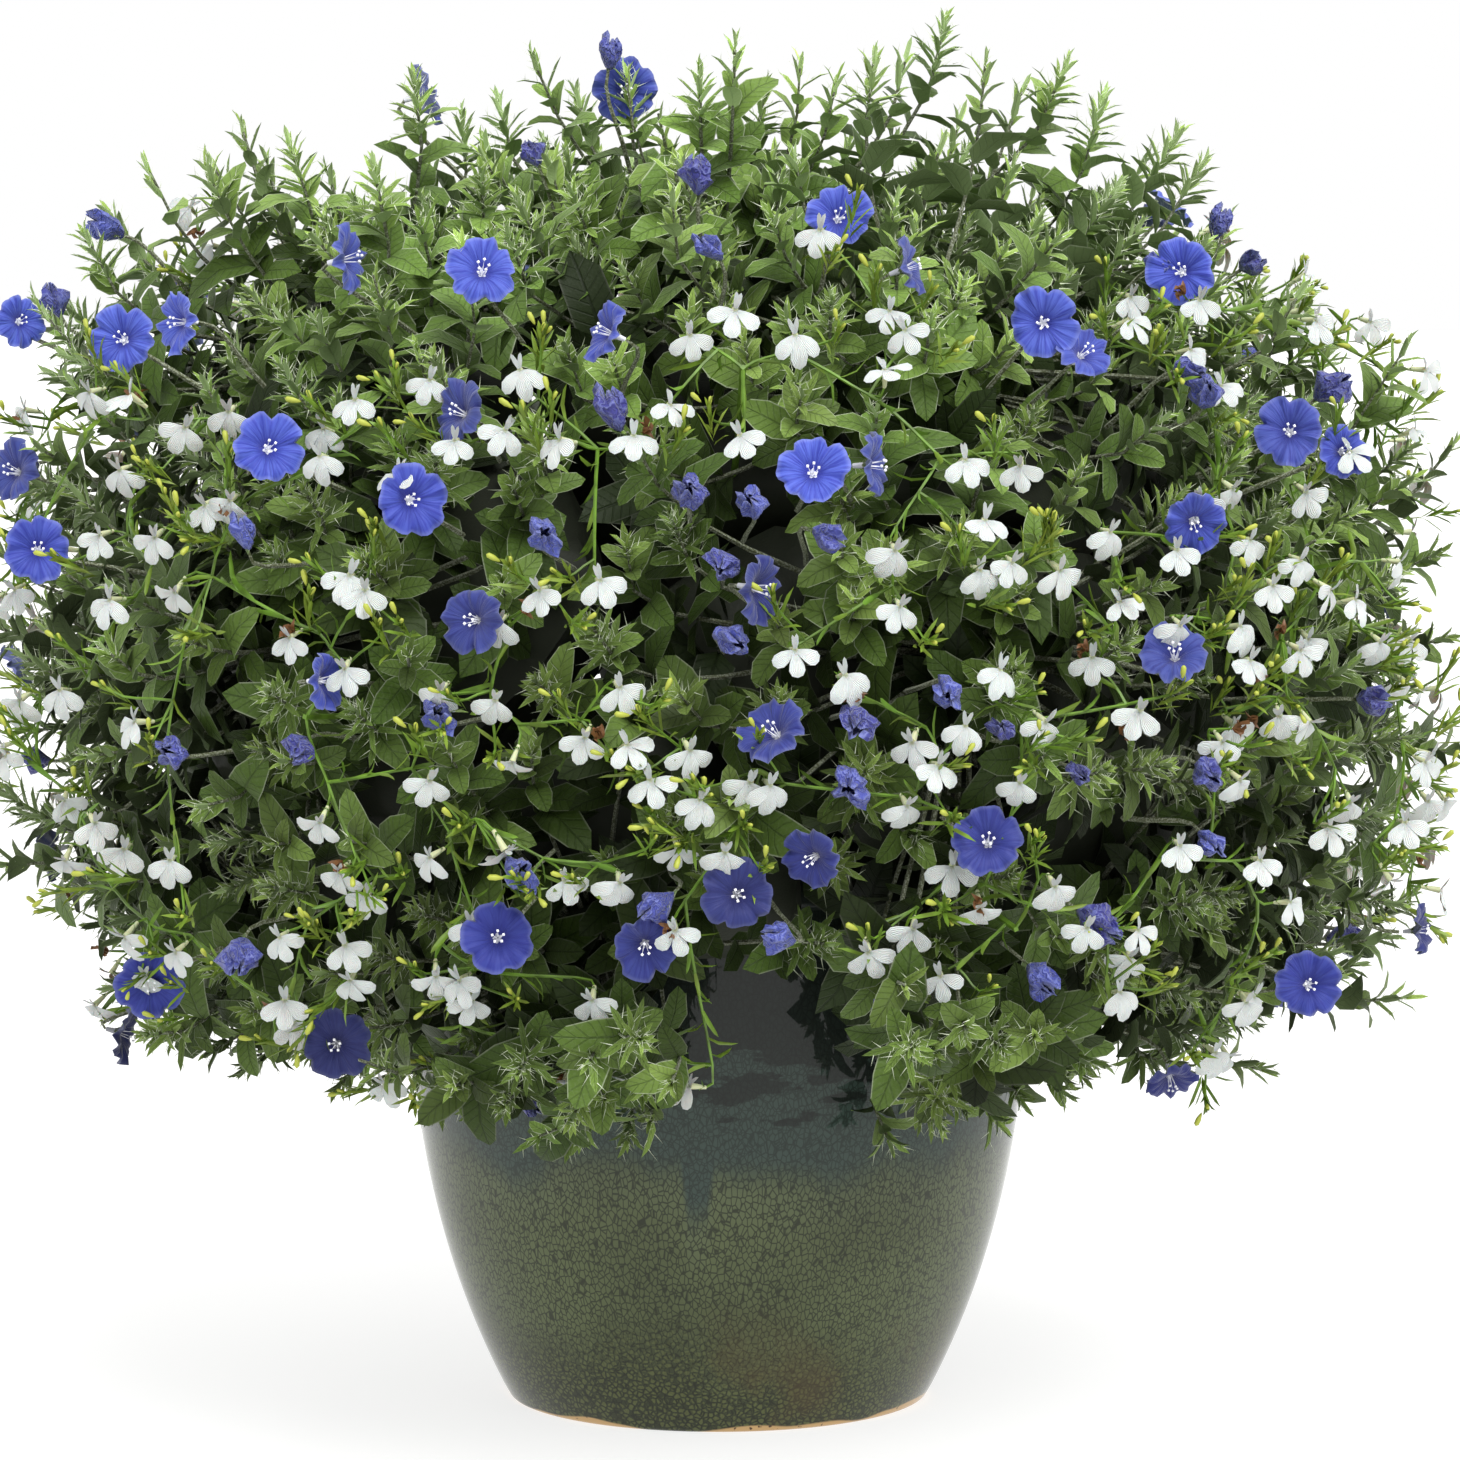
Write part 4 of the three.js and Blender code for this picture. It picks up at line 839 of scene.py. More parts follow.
def petal_disc(rings, steps, form, material=0):
    """A closed sheet spun round an axis and then formed. form turns an angle and a share out into a place. The
    uv is the turn and the share, which runs on from 1 to 3 on the back."""
    bm = bmesh.new()
    profile = [bm.verts.new((share, 0, 0)) for share in rings]
    edges = [bm.edges.new(pair) for pair in zip(profile, profile[1:])]
    bmesh.ops.spin(bm, geom=profile + edges, axis=(0, 0, 1), cent=(0, 0, 0), steps=steps, angle=2 * math.pi,
                   use_merge=True)
    inner = [edge for edge in bm.edges if edge.is_boundary and edge.verts[0].co.length < 1.5 * rings[0]]
    bmesh.ops.contextual_create(bm, geom=inner)
    layer = bm.loops.layers.uv.verify()
    for face in bm.faces:
        face.material_index = material
        middle = face.calc_center_median()
        turn = math.atan2(middle.y, middle.x)
        for loop in face.loops:
            co = loop.vert.co
            own = turn + (math.atan2(co.y, co.x) - turn + math.pi) % (2 * math.pi) - math.pi
            loop[layer].uv = (own / (2 * math.pi), co.length)
    for vert in bm.verts:
        vert.co = form(math.atan2(vert.co.y, vert.co.x), vert.co.length)
    bmesh.ops.recalc_face_normals(bm, faces=bm.faces)
    if sum(face.normal.z * face.calc_area() for face in bm.faces) < 0:
        bmesh.ops.reverse_faces(bm, faces=bm.faces)
    front = set(bm.faces)
    bmesh.ops.solidify(bm, geom=bm.faces, thickness=PETAL_THICKNESS)
    for face in bm.faces:
        if face not in front:
            for loop in face.loops:
                loop[layer].uv.y = 3 - loop[layer].uv.y
    return bm


def bloom_shape(settings, seed):
    """An open bloom: a shallow funnel of five joined petals with notched, ruffled edges, five white stamens, a
    narrow tube and hairy sepals behind. It faces +Z, and its materials are petal, stamen, leaf and hair."""
    rng = Random(seed)
    phases = [rng.uniform(0, 2 * math.pi) for _ in range(4)]
    radius = settings.radius
    lengths = [rng.uniform(0.84, 1.06) for _ in range(5)]
    lifts = [rng.uniform(-3.2, 2.0) for _ in range(5)]

    def form(angle, share):
        turn = (angle / (2 * math.pi) * 5) % 5
        petal = int(turn) % 5
        gap = abs(2 * (turn - int(turn)) - 1)
        own = 1 - gap**2
        outline = 1 - share**2 * (0.24 * gap**5 + 0.045 * (1 - min(1, 3 * gap)) ** 2)
        out = radius * share * outline * (1 + (lengths[petal] - 1) * own * share)
        ruffle = share**3 * (1.1 * math.sin(13 * angle + phases[0]) + 1.2 * math.sin(9 * angle + phases[1]))
        fold = -1.6 * share * gap**6 + 0.9 * share * (1 - min(1, 4 * gap))
        cup = -7 * max(0, 1 - share) ** 2.2 + lifts[petal] * own * share**2
        curl = -14 * max(0, share - 0.75) ** 2
        height = cup + fold + ruffle + curl
        return Vector((out * math.cos(angle), out * math.sin(angle), height * MM))

    bm = petal_disc(BLOOM_RINGS, BLOOM_STEPS, form)
    for k in range(5):
        angle = 2 * math.pi * (k + 0.3) / 5
        foot = Vector((0.6 * math.cos(angle), 0.6 * math.sin(angle), -6.5)) * MM
        tip = Vector((2.2 * math.cos(angle), 2.2 * math.sin(angle), 1.5 + rng.uniform(-0.6, 0.8))) * MM
        add_needle(bm, foot, tip, 0.4 * MM, 1)
        anther = bmesh.ops.create_uvsphere(bm, u_segments=4, v_segments=3, radius=0.75 * MM,
                                           matrix=Matrix.Translation(tip))["verts"]
        paint(anther, 1)
    bmesh.ops.create_cone(bm, cap_ends=True, segments=8, radius1=1.0 * MM, radius2=1.4 * MM, depth=5 * MM,
                          matrix=Matrix.Translation((0, 0, -9 * MM)))
    add_sepals(bm, rng, 5, Vector((0, 0, -11 * MM)), 7 * MM)
    return Shape(bm)


def add_sepals(bm, rng, count, foot, length):
    """Adds narrow hairy sepals round the foot of a bloom that faces +Z."""
    for k in range(count):
        turn = turned_about("Z", 2 * math.pi * (k + 0.2 * rng.random()) / count)
        side = turn @ Vector((0.45, 0, 1))
        form = blade_form(length, 2 * MM, NARROW_THICKNESS, 0.4, 0.08, 0.0, -0.2)
        matrix = placing(foot, side, turn @ Vector((-1, 0, 0.3)))
        add_blade(bm, form, matrix, sections=3, material=2)
        for height in (0.25, 0.5, 0.75):
            root = matrix @ form(0, height, -1)
            way = (side + turn @ Vector((rng.uniform(0.6, 1.4), rng.uniform(-0.6, 0.6), 0))).normalized()
            add_needle(bm, root, root + way * 2.6 * MM, SEPAL_HAIR, 3)


def faded_shape(seed):
    """A faded bloom: its joined petals shrunk to a small, crumpled and half-closed bag, on hairy sepals."""
    rng = Random(seed)
    offset = Vector((rng.random(), rng.random(), rng.random())) * 10
    lean = Vector((rng.uniform(-1, 1), rng.uniform(-1, 1), 0)) * 2.5
    phases = [rng.uniform(0, 2 * math.pi) for _ in range(3)]
    width, flatness, height = rng.uniform(5.0, 6.6), rng.uniform(0.55, 0.85), rng.uniform(11, 15)

    def form(angle, share):
        way = Vector((math.cos(angle), math.sin(angle) * flatness, 2 * share))
        pleat = 0.3 * math.sin(5 * angle + phases[0] + 3 * share) + 0.18 * math.sin(8 * angle + phases[1] - 4 * share)
        crumple = 0.9 * noise.noise(way * 1.3 + offset)
        out = width * math.sin(math.pi * (0.08 + 0.82 * share**1.2)) * (1 + share * pleat + crumple)
        ragged = 2.4 * share * share * math.sin(5 * angle + phases[2])
        up = -5 + height * share - 3 * max(0, share - 0.75) + ragged + 2.5 * crumple
        return Vector((out * way.x + lean.x * share, out * way.y + lean.y * share, up)) * MM

    bm = petal_disc(FADED_RINGS, FADED_STEPS, form, 5)
    add_sepals(bm, rng, 4, Vector((0, 0, -8 * MM)), 8 * MM)
    return Shape(bm)


def lobelia_shapes(settings):
    """Open lobelia flowers: three broad lobes below, two narrow ones above, a slim tube and four sepals. The
    flower faces +Z and its middle lobe points along +Y. Its materials are petal and green."""
    shapes = []
    for seed, spread, bend in ((1, 1.0, 0.2), (2, 0.86, 0.4), (3, 1.08, 0.05), (4, 0.94, -0.1)):
        rng = Random(seed)
        bm = bmesh.new()
        length = settings.lobe_length
        for turn, size, width in ((0, 1.0, 0.52), (-54, 0.95, 0.48), (55, 0.93, 0.5)):
            droop = bend + rng.uniform(-0.15, 0.2)
            form = blade_form(size * length, width * length, PETAL_THICKNESS, rng.uniform(-0.5, 0.2), 0.1, droop,
                              0.62, rng.uniform(-0.06, 0.06))
            add_blade(bm, form, turned_about("Z", math.radians(spread * turn)), sections=6)
        for turn in (-160 + rng.uniform(-12, 12), 160 + rng.uniform(-12, 12)):
            form = blade_form(0.58 * length, 0.17 * length, PETAL_THICKNESS, 0.3, 0.1, rng.uniform(-0.6, 0.2))
            matrix = turned_about("Z", math.radians(turn)) @ turned_about("X", 0.35)
            add_blade(bm, form, matrix, sections=4)
        matrix = placing(TUBE_END * 0.5, -TUBE_END, UP) @ turned_about("X", -math.pi / 2)
        bmesh.ops.create_cone(bm, cap_ends=True, segments=5, radius1=0.8 * MM, radius2=1.5 * MM,
                              depth=TUBE_END.length, matrix=matrix)
        for k in range(4):
            turn = turned_about("Z", math.pi * (k + 0.5) / 2)
            side = turn @ Vector((0.5, 0, 1))
            form = blade_form(4.5 * MM, 0.9 * MM, NARROW_THICKNESS)
            add_blade(bm, form, placing(TUBE_END, side, turn @ Vector((-1, 0, 0))), sections=2, material=1)
        shapes.append(Shape(bm))
    return shapes


def add_bud(bm, matrix, size):
    """Adds a club-shaped bud along +Y, with the second material."""
    bud = bmesh.ops.create_uvsphere(bm, u_segments=5, v_segments=4, radius=1)["verts"]
    for vert in bud:
        along = (vert.co.z + 1) / 2
        swell = (0.7 + 1.3 * along) * size
        vert.co = Vector((vert.co.x * swell, along * 7.5 * size, vert.co.y * swell)) * MM
    bmesh.ops.transform(bm, matrix=matrix, verts=bud)
    paint(bud, 1)


def tuft_shapes():
    """A lobelia shoot's end: narrow leaves crowded round a few buds, growing along +Y. Its materials are leaf
    green and bud."""
    shapes = []
    for seed in (21, 22, 23):
        rng = Random(seed)
        bm = bmesh.new()
        for k in range(11):
            turn = turned_about("Y", k * GOLDEN_ANGLE)
            side = turn @ Vector((0.25 + 0.1 * k * rng.random(), 1, 0))
            root = Vector((0, -1.7 * k * MM, 0))
            droop = rng.uniform(-0.2, 0.2)
            form = blade_form((6.5 + 0.9 * k) * MM, 1.6 * MM, NARROW_THICKNESS, 0.3, 0.05, droop)
            add_blade(bm, form, placing(root, side, turn @ Vector((-1, 0.4, 0))), sections=3)
        for k in range(2):
            turn = turned_about("Y", k * 2.1 + rng.random())
            side = turn @ Vector((0.4 + 0.4 * k, 1, 0))
            root = side.normalized() * (1 + 3 * k) * MM
            add_bud(bm, placing(root, side, turn @ Vector((-1, 0, 0))), 0.6 + 0.2 * k)
        shapes.append(Shape(bm))
    return shapes


def dried_shape():
    """A dried lobelia flower: a few narrow twisted shreds."""
    rng = Random(29)
    bm = bmesh.new()
    for k in range(5):
        turn = turned_about("Y", k * GOLDEN_ANGLE)
        side = turn @ Vector((rng.uniform(0.4, 1.2), 1, 0))
        form = blade_form(rng.uniform(4, 7) * MM, 2.2 * MM, 0.5 * MM, 1.2, 0.3, rng.uniform(-0.8, 0.8), 0.0, 0.1)
        add_blade(bm, form, placing(Vector(), side, turn @ Vector((-1, 0, 0.5))), sections=4)
    return Shape(bm)


def narrow_leaf_shapes():
    """Lobelia's narrow leaves."""
    shapes = []
    for droop in (-0.15, 0.15, 0.4):
        bm = bmesh.new()
        add_blade(bm, blade_form(14 * MM, 2.2 * MM, NARROW_THICKNESS, 0.3, 0.08, droop), sections=4)
        shapes.append(Shape(bm))
    return shapes


# The bush's outline and the places on it


def level(point):
    """How far out a point lies: 1 is on the bush's outline."""
    offset = point - BUSH_CENTRE
    across = math.hypot(offset.x, offset.y) / BUSH_RADIUS
    along = abs(offset.z) / (BUSH_RISE if offset.z > 0 else BUSH_DROP)
    return (across**BUSH_POWER + along**BUSH_POWER) ** (1 / BUSH_POWER)


def outline_point(direction, share):
    return BUSH_CENTRE + direction * (share / level(BUSH_CENTRE + direction))


def direction_at(height, angle):
    width = math.sqrt(1 - height * height)
    return Vector((width * math.cos(angle), width * math.sin(angle), height))


def spiral_direction(index, count, top, bottom, turn=0.0):
    return direction_at(top + (bottom - top) * (index + 0.5) / count, index * GOLDEN_ANGLE + turn)


def back_direction(index, count, top, bottom):
    """A direction to the back of the bush, which the front view doesn't show."""
    turn = math.pi * (0.03 + 0.94 * ((index * 0.618034) % 1))
    return direction_at(top + (bottom - top) * (index + 0.5) / count, turn)


def seen_at(across, down, share):
    """The place on the outline, grown or shrunk to a share, that shows at a square of the front view."""
    tilt = math.atan2(EYE.z - VIEW_AIM.z, VIEW_AIM.y - EYE.y)
    rise = (VIEW_MIDDLE - down) * VIEW_SQUARE
    square = VIEW_AIM + Vector(((across - VIEW_MIDDLE) * VIEW_SQUARE, rise * math.sin(tilt), rise * math.cos(tilt)))
    nearest, lowest = square, math.inf
    for step in range(180, -61, -1):
        point = square.lerp(EYE, step / 1000)
        here = level(point)
        if here <= share:
            return point
        if here < lowest:
            nearest, lowest = point, here
    return nearest


def outward_from(point):
    return (point - BUSH_CENTRE).normalized()


def downslope(point):
    """The way down over the bush's surface at a place."""
    out = outward_from(point)
    return (out * out.z - UP).normalized()


def wall_radius(settings, height):
    rise = 1 - (1 - height / POT_TOP) ** POT_BELLY
    return settings.foot_radius + (settings.rim_radius - settings.foot_radius) * rise


def facing_from(place, turned, tipped):
    """The way a bloom faces, from its turn to the right and its tip upwards in degrees, as the eye sees it."""
    facing = Matrix.Rotation(math.radians(turned), 3, "Z") @ (EYE - place).normalized()
    side = facing.cross(UP).normalized()
    return Matrix.Rotation(math.radians(tipped), 3, side) @ facing


HEAD_MIDDLES = [
    outline_point(direction_at(height, 2 * math.pi * (i + turn) / count), HEAD_MIDDLE)
    for height, count, turn in HEAD_ROWS
    for i in range(count)
]
HUBS = [outline_point(spiral_direction(i, SPRAYS, 0.62, -0.42, 2.35), HUB_LEVEL) for i in range(SPRAYS)]


def nearest_index(places, point):
    return min(range(len(places)), key=lambda i: (places[i] - point).length_squared)


def bloom_places():
    """The places and facings of the blooms that have solids of their own."""
    places = []
    for across, down, turned, tipped in FRONT_BLOOMS:
        place = seen_at(across, down, BLOOM_LEVEL)
        places.append((place, facing_from(place, turned, tipped)))
    for i in range(BACK_BLOOMS):
        place = outline_point(back_direction(i, BACK_BLOOMS, 0.8, -0.4), BLOOM_LEVEL)
        places.append((place, outward_from(place)))
    return places


def side_bloom_places():
    places = []
    for across, down, turned, tipped in SIDE_BLOOMS:
        place = seen_at(across, down, SIDE_BLOOM_LEVEL)
        places.append((place, facing_from(place, turned, tipped)))
    rng = Random(SIDE_BLOOM_SEED)
    for i in range(BACK_SIDE_BLOOMS):
        place = outline_point(back_direction(i + 0.4, BACK_SIDE_BLOOMS, 0.7, -0.45), SIDE_BLOOM_LEVEL)
        places.append((place, scattered(rng, outward_from(place), 0.5)))
    return places


def faded_places():
    places = [seen_at(across, down, FADED_LEVEL) for across, down in FADED_BLOOMS]
    for i in range(BACK_FADED_BLOOMS):
        places.append(outline_point(back_direction(i + 0.7, BACK_FADED_BLOOMS, 0.85, -0.5), FADED_LEVEL))
    rng = Random(FADED_SEED)
    return [(place, scattered(rng, outward_from(place), 0.8)) for place in places]


def scattered(rng, direction, amount):
    """A direction turned a little at random."""
    return (direction + amount * Vector((rng.uniform(-1, 1), rng.uniform(-1, 1), rng.uniform(-1, 1)))).normalized()


def flower_places():
    """The places and facings of all the lobelia flowers, some with a neighbour close by."""
    rng = Random(FLOWER_SEED)
    places = [seen_at(across, down, FLOWER_LEVEL) for across, down in FRONT_FLOWERS]
    for i in range(BACK_FLOWERS):
        places.append(outline_point(back_direction(i, BACK_FLOWERS, 0.7, -0.5), FLOWER_LEVEL))
    for place in list(places):
        near = place + scattered(rng, Vector(), 1) * rng.uniform(19, 28) * MM
        near = outline_point(outward_from(near), rng.uniform(0.93, 1.0))
        if rng.random() < PAIR_SHARE and all((near - other).length > 17 * MM for other in places):
            places.append(near)
    made = []
    for place in places:
        towards_eye = (EYE - place).normalized() * (0.7 if place.y < 0 else 0)
        facing = (outward_from(place) + towards_eye).normalized()
        made.append((place, scattered(rng, facing, 0.75 if rng.random() < 0.3 else 0.4)))
    return made


def in_front_gap(point):
    return point.y < 0 and point.z < GAP_TOP and abs(point.x - GAP_MIDDLE) < GAP_HALF_WIDTH


def near_pot(point, space):
    return point.z < POT_TOP + space and math.hypot(point.x, point.y) < LIP_RADIUS + space


# Growing


def stem_points(target, last_stretch):
    """A stem's line from the soil up, over the rim and out to its place in the bush."""
    out = Vector((target.x, target.y, 0)).normalized() if target.xy.length > 1e-6 else Vector((0, 0, 0))
    lean = math.acos(outward_from(target).z) / math.pi
    foot = out * (ROOT_INNER + ROOT_SPREAD * lean)
    foot.z = SOIL_EDGE + 0.5 * SOIL_CROWN - ROOT_SUNK
    surface = foot + UP * (STRAIGHT_RISE + ROOT_SUNK)
    over_rim = POT_TOP + (70 * MM if target.z < BUSH_CENTRE.z else 30 * MM)
    bend = out * (foot.xy.length + 16 * MM)
    bend.z = max(over_rim, 0.55 * target.z + 0.45 * surface.z)
    shoulder = target - outward_from(target) * last_stretch
    first = surface.lerp(bend, 2 / 3)
    second = shoulder.lerp(bend, 2 / 3)
    return [foot, *interpolate_bezier(surface, first, second, shoulder, 8), target]


def tapered(points, start, end):
    return points, [start + (end - start) * i / (len(points) - 1) for i in range(len(points))]


def length_of(points):
    return sum((b - a).length for a, b in zip(points, points[1:]))


def aside(way, angle):
    """A direction square to a way, turned round it by an angle."""
    return Matrix.Rotation(angle, 3, way) @ way.orthogonal().normalized()


def along_path(points, distance):
    """The point and direction at a distance back from a path's end."""
    for b, a in zip(points[::-1], points[-2::-1]):
        stretch = (b - a).length
        if distance <= stretch:
            return b.lerp(a, distance / stretch), (b - a).normalized()
        distance -= stretch
    return points[0], (points[1] - points[0]).normalized()


def shoot_path(start, tip, axis):
    """A shoot's line, which ends along an axis."""
    reach = (tip - start).length
    return interpolate_bezier(start, start.lerp(tip, 0.4), tip - axis * 0.45 * reach, tip, 7)


class Foliage:
    """The shapes and the room that all the shoots share."""

    def __init__(self, settings, flowers):
        self.settings = settings
        self.leaves = leaf_shapes(settings, 5)
        self.old_leaves = leaf_shapes(settings, 4)
        self.inner_leaves = leaf_shapes(settings, 3)
        self.bracts = bract_shapes(settings)
        self.flowers = kdtree.KDTree(len(flowers))
        for i, (place, _, reach) in enumerate(flowers):
            self.flowers.insert(place, i)
        self.flowers.balance()
        self.reaches = [reach for _, _, reach in flowers]
        self.facings = [facing for _, facing, _ in flowers]

    def hides_flower(self, point):
        """Whether a point lies in front of a flower."""
        for place, index, distance in self.flowers.find_n(point, 3):
            offset = point - place
            ahead = offset.dot(self.facings[index])
            beside = (offset - self.facings[index] * ahead).length
            if ahead > -2 * MM and beside < self.reaches[index] and distance < 60 * MM:
                return True
        return False

    def add_leaf(self, growth, shape, root, axis, side, tilt, size, tone):
        direction = axis * math.cos(tilt) + side * math.sin(tilt)
        tip = root + direction * size * self.settings.leaf_length
        if near_pot(tip, 1 * MM) or in_front_gap(tip) or self.hides_flower(tip):
            return
        growth.add(shape, placing(root, direction, axis, size), tone)

    def grow_shoot(self, growth, stems, start, tip, axis, rng, kind):
        """Grows a shoot with crowded young leaves at its tip and larger ones further down."""
        path = shoot_path(start, tip, axis)
        if any(in_front_gap(point) for point in path):
            return
        reach = length_of(path)
        stems.append(tapered(path, *SHOOT_STEM))
        tip_leaves, tip_spacing, spacing = SHOOT_KINDS[kind]
        turn = rng.uniform(0, 2 * math.pi)
        light = rng.uniform(0.35, 0.7)
        freshness = rng.uniform(0.3, 1.0)
        down = 0.0
        leaf = 0
        while down < min(reach, LEAFY_REACH):
            place, way = along_path(path, down)
            side = aside(way, turn + leaf * GOLDEN_ANGLE)
            # Painted light and shade: besides varying at random, a leaf's light tone rises towards the bush's top and
            # falls further down its shoot, deeper inside the bush
            high = max(0, place.z - BUSH_CENTRE.z) / BUSH_RISE
            tone_and_painted_light = min(max(light + rng.uniform(-0.35, 0.35), 0), 1) + TOP_LIGHT * high
            tone_and_painted_light *= max(0.03, 1 - down / (SHADE_DEPTH * (1 + high * high)))
            if leaf < tip_leaves:
                share = leaf / tip_leaves
                # Painted light: the narrow leaves at a shoot's tip get a lighter tone
                tone = (tone_and_painted_light + TIP_LIGHT * (1.2 - share), min(1, freshness * (1.1 - 0.6 * share)), 0)
                tilt = 0.2 + (1.2 if kind == "brush" else 0.7) * share + rng.uniform(-0.15, 0.15)
                size = 0.65 + 0.5 * share + rng.uniform(-0.1, 0.1)
                self.add_leaf(growth, rng.choice(self.bracts), place, way, side, tilt, size, tone)
                down += tip_spacing
            else:
                share = min(1, (leaf - tip_leaves) / 6 + (0.4 if kind == "brush" else 0))
                tone = (tone_and_painted_light, freshness * (0.75 - 0.6 * share), 0)
                leaves = self.leaves if down < 30 * MM else self.old_leaves if down < 55 * MM else self.inner_leaves
                tilt = 0.6 + 0.6 * share + rng.uniform(-0.2, 0.2)
                size = 0.52 + 0.58 * share + rng.uniform(-0.12, 0.12)
                self.add_leaf(growth, rng.choice(leaves), place, way, side, tilt, size, tone)
                down += spacing * (0.7 + 0.6 * share)
            leaf += 1

    def grow_inner(self, growth, stems, start, tip, rng):
        """Grows a shoot of old leaves inside the bush, darkened with painted shade."""
        path = shoot_path(start, tip, scattered(rng, outward_from(tip), 0.4))
        if any(in_front_gap(point) for point in path):
            return
        reach = length_of(path)
        stems.append(tapered(path, *INNER_STEM))
        turn = rng.uniform(0, 2 * math.pi)
        for leaf in range(int(min(reach, INNER_LEAFY) / INNER_SPACING)):
            place, way = along_path(path, leaf * INNER_SPACING)
            side = aside(way, turn + leaf * GOLDEN_ANGLE)
            # Painted shade: these leaves get a light tone of only 0.02 to 0.14
            self.add_leaf(growth, rng.choice(self.inner_leaves), place, way, side, rng.uniform(0.9, 1.5),
                          rng.uniform(1.1, 1.5), (rng.uniform(0.02, 0.14), 0, 0))


def in_core(point, head):
    return (level(point) < CORE_LEVEL and not near_pot(point, 12 * MM) and not in_front_gap(point)
            and nearest_index(HEAD_MIDDLES, point) == head)


def shade_core_shape(head):
    """A rough body inside a leafy head that stands in for the shade there, drawn dark as painted shade."""
    middle = outline_point(outward_from(HEAD_MIDDLES[head]), CORE_MIDDLE)
    bm = bmesh.new()
    for vert in bmesh.ops.create_icosphere(bm, subdivisions=3, radius=1)["verts"]:
        step = vert.co.normalized() * 5 * MM
        point = middle + step
        while in_core(point, head):
            point += step
        rough = noise.noise(vert.co * 4 + middle * 30)
        vert.co = middle.lerp(point - step, 0.9 + 0.1 * rough)
    return Shape(bm)


def nodes_named(prefix):
    return sorted(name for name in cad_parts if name.startswith(prefix))


def spun(profile, steps):
    """A closed body spun round the Z axis from a profile of (radius, height) that starts and ends on the axis."""
    bm = bmesh.new()
    verts = [bm.verts.new((radius, 0, height)) for radius, height in profile]
    edges = [bm.edges.new(pair) for pair in zip(verts, verts[1:])]
    bmesh.ops.spin(bm, geom=verts + edges, axis=(0, 0, 1), cent=(0, 0, 0), steps=steps, angle=2 * math.pi,
                   use_merge=True)
    bmesh.ops.remove_doubles(bm, verts=bm.verts, dist=1e-6)
    bmesh.ops.recalc_face_normals(bm, faces=bm.faces)
    return bm


def rounded(centre, radius, start, end, steps):
    """Points of an arc round a centre, from one angle to another in degrees."""
    points = []
    for i in range(steps + 1):
        angle = math.radians(start + (end - start) * i / steps)
        points.append((centre[0] + radius * math.cos(angle), centre[1] + radius * math.sin(angle)))
    return points


def drilled(mesh, places, radius, depth):
    """A copy of a mesh with upright round holes drilled through it."""
    bm = bmesh.new()
    for place in places:
        bmesh.ops.create_cone(bm, cap_ends=True, segments=32, radius1=radius, radius2=radius, depth=depth,
                              matrix=Matrix.Translation(place))
    drills = mesh_from(bm, "drills")
    body, drill = (bpy.data.objects.new(part.name, part) for part in (mesh, drills))
    cut = body.modifiers.new("holes", "BOOLEAN")
    cut.operation = "DIFFERENCE"
    cut.object = drill
    bpy.context.scene.collection.objects.link(body)
    bpy.context.scene.collection.objects.link(drill)
    made = bpy.data.meshes.new_from_object(body.evaluated_get(bpy.context.evaluated_depsgraph_get()))
    for part in (body, drill):
        bpy.data.objects.remove(part)
    for part in (mesh, drills):
        bpy.data.meshes.remove(part)
    return made


class PLANTING_OT_pot(bpy.types.Operator):
    """Adds the glazed pot with its bare foot and drainage holes"""

    bl_idname = "planting.pot"
    bl_label = "Pot"

    def execute(self, context):
        settings = context.scene.planting_pot
        lip = settings.rim_radius + LIP_OUT
        wall_top = POT_TOP - LIP_HEIGHT
        profile = [(0, 0), *rounded((settings.foot_radius - 2 * MM, 3 * MM), 3 * MM, -90, -20, 4)]
        profile += [(wall_radius(settings, h), h) for h in np.linspace(6 * MM, wall_top - 1 * MM, 34)]
        profile += rounded((lip - LIP_ROUNDING, wall_top + LIP_ROUNDING), LIP_ROUNDING, -70, 0, 4)
        profile += rounded((lip - LIP_ROUNDING, POT_TOP - LIP_ROUNDING), LIP_ROUNDING, 0, 90, 5)
        profile += rounded((settings.rim_radius - settings.wall + 3 * MM, POT_TOP - 3 * MM), 3 * MM, 90, 180, 4)
        inner = np.linspace(wall_top, settings.floor + 6 * MM, 14)
        profile += [(wall_radius(settings, h) - settings.wall, h) for h in inner]
        profile += [(wall_radius(settings, settings.floor) - settings.wall - 5 * MM, settings.floor)]
        profile += [(0, settings.floor)]
        whole = mesh_from(spun(profile, POT_STEPS), "whole_pot")
        turns = [2 * math.pi * (i + 0.5) / DRAIN_HOLES for i in range(DRAIN_HOLES)]
        drains = [direction_at(0, turn) * DRAIN_CIRCLE for turn in turns]
        mesh = drilled(whole, drains, DRAIN_RADIUS, 3 * settings.floor)
        mesh.name = "stoneware_pot"
        mesh.set_sharp_from_angle(angle=math.radians(50))
        mesh.materials.append(glaze_material(settings))
        add_piece("stoneware_pot", mesh, ["pot"])
        return {"FINISHED"}


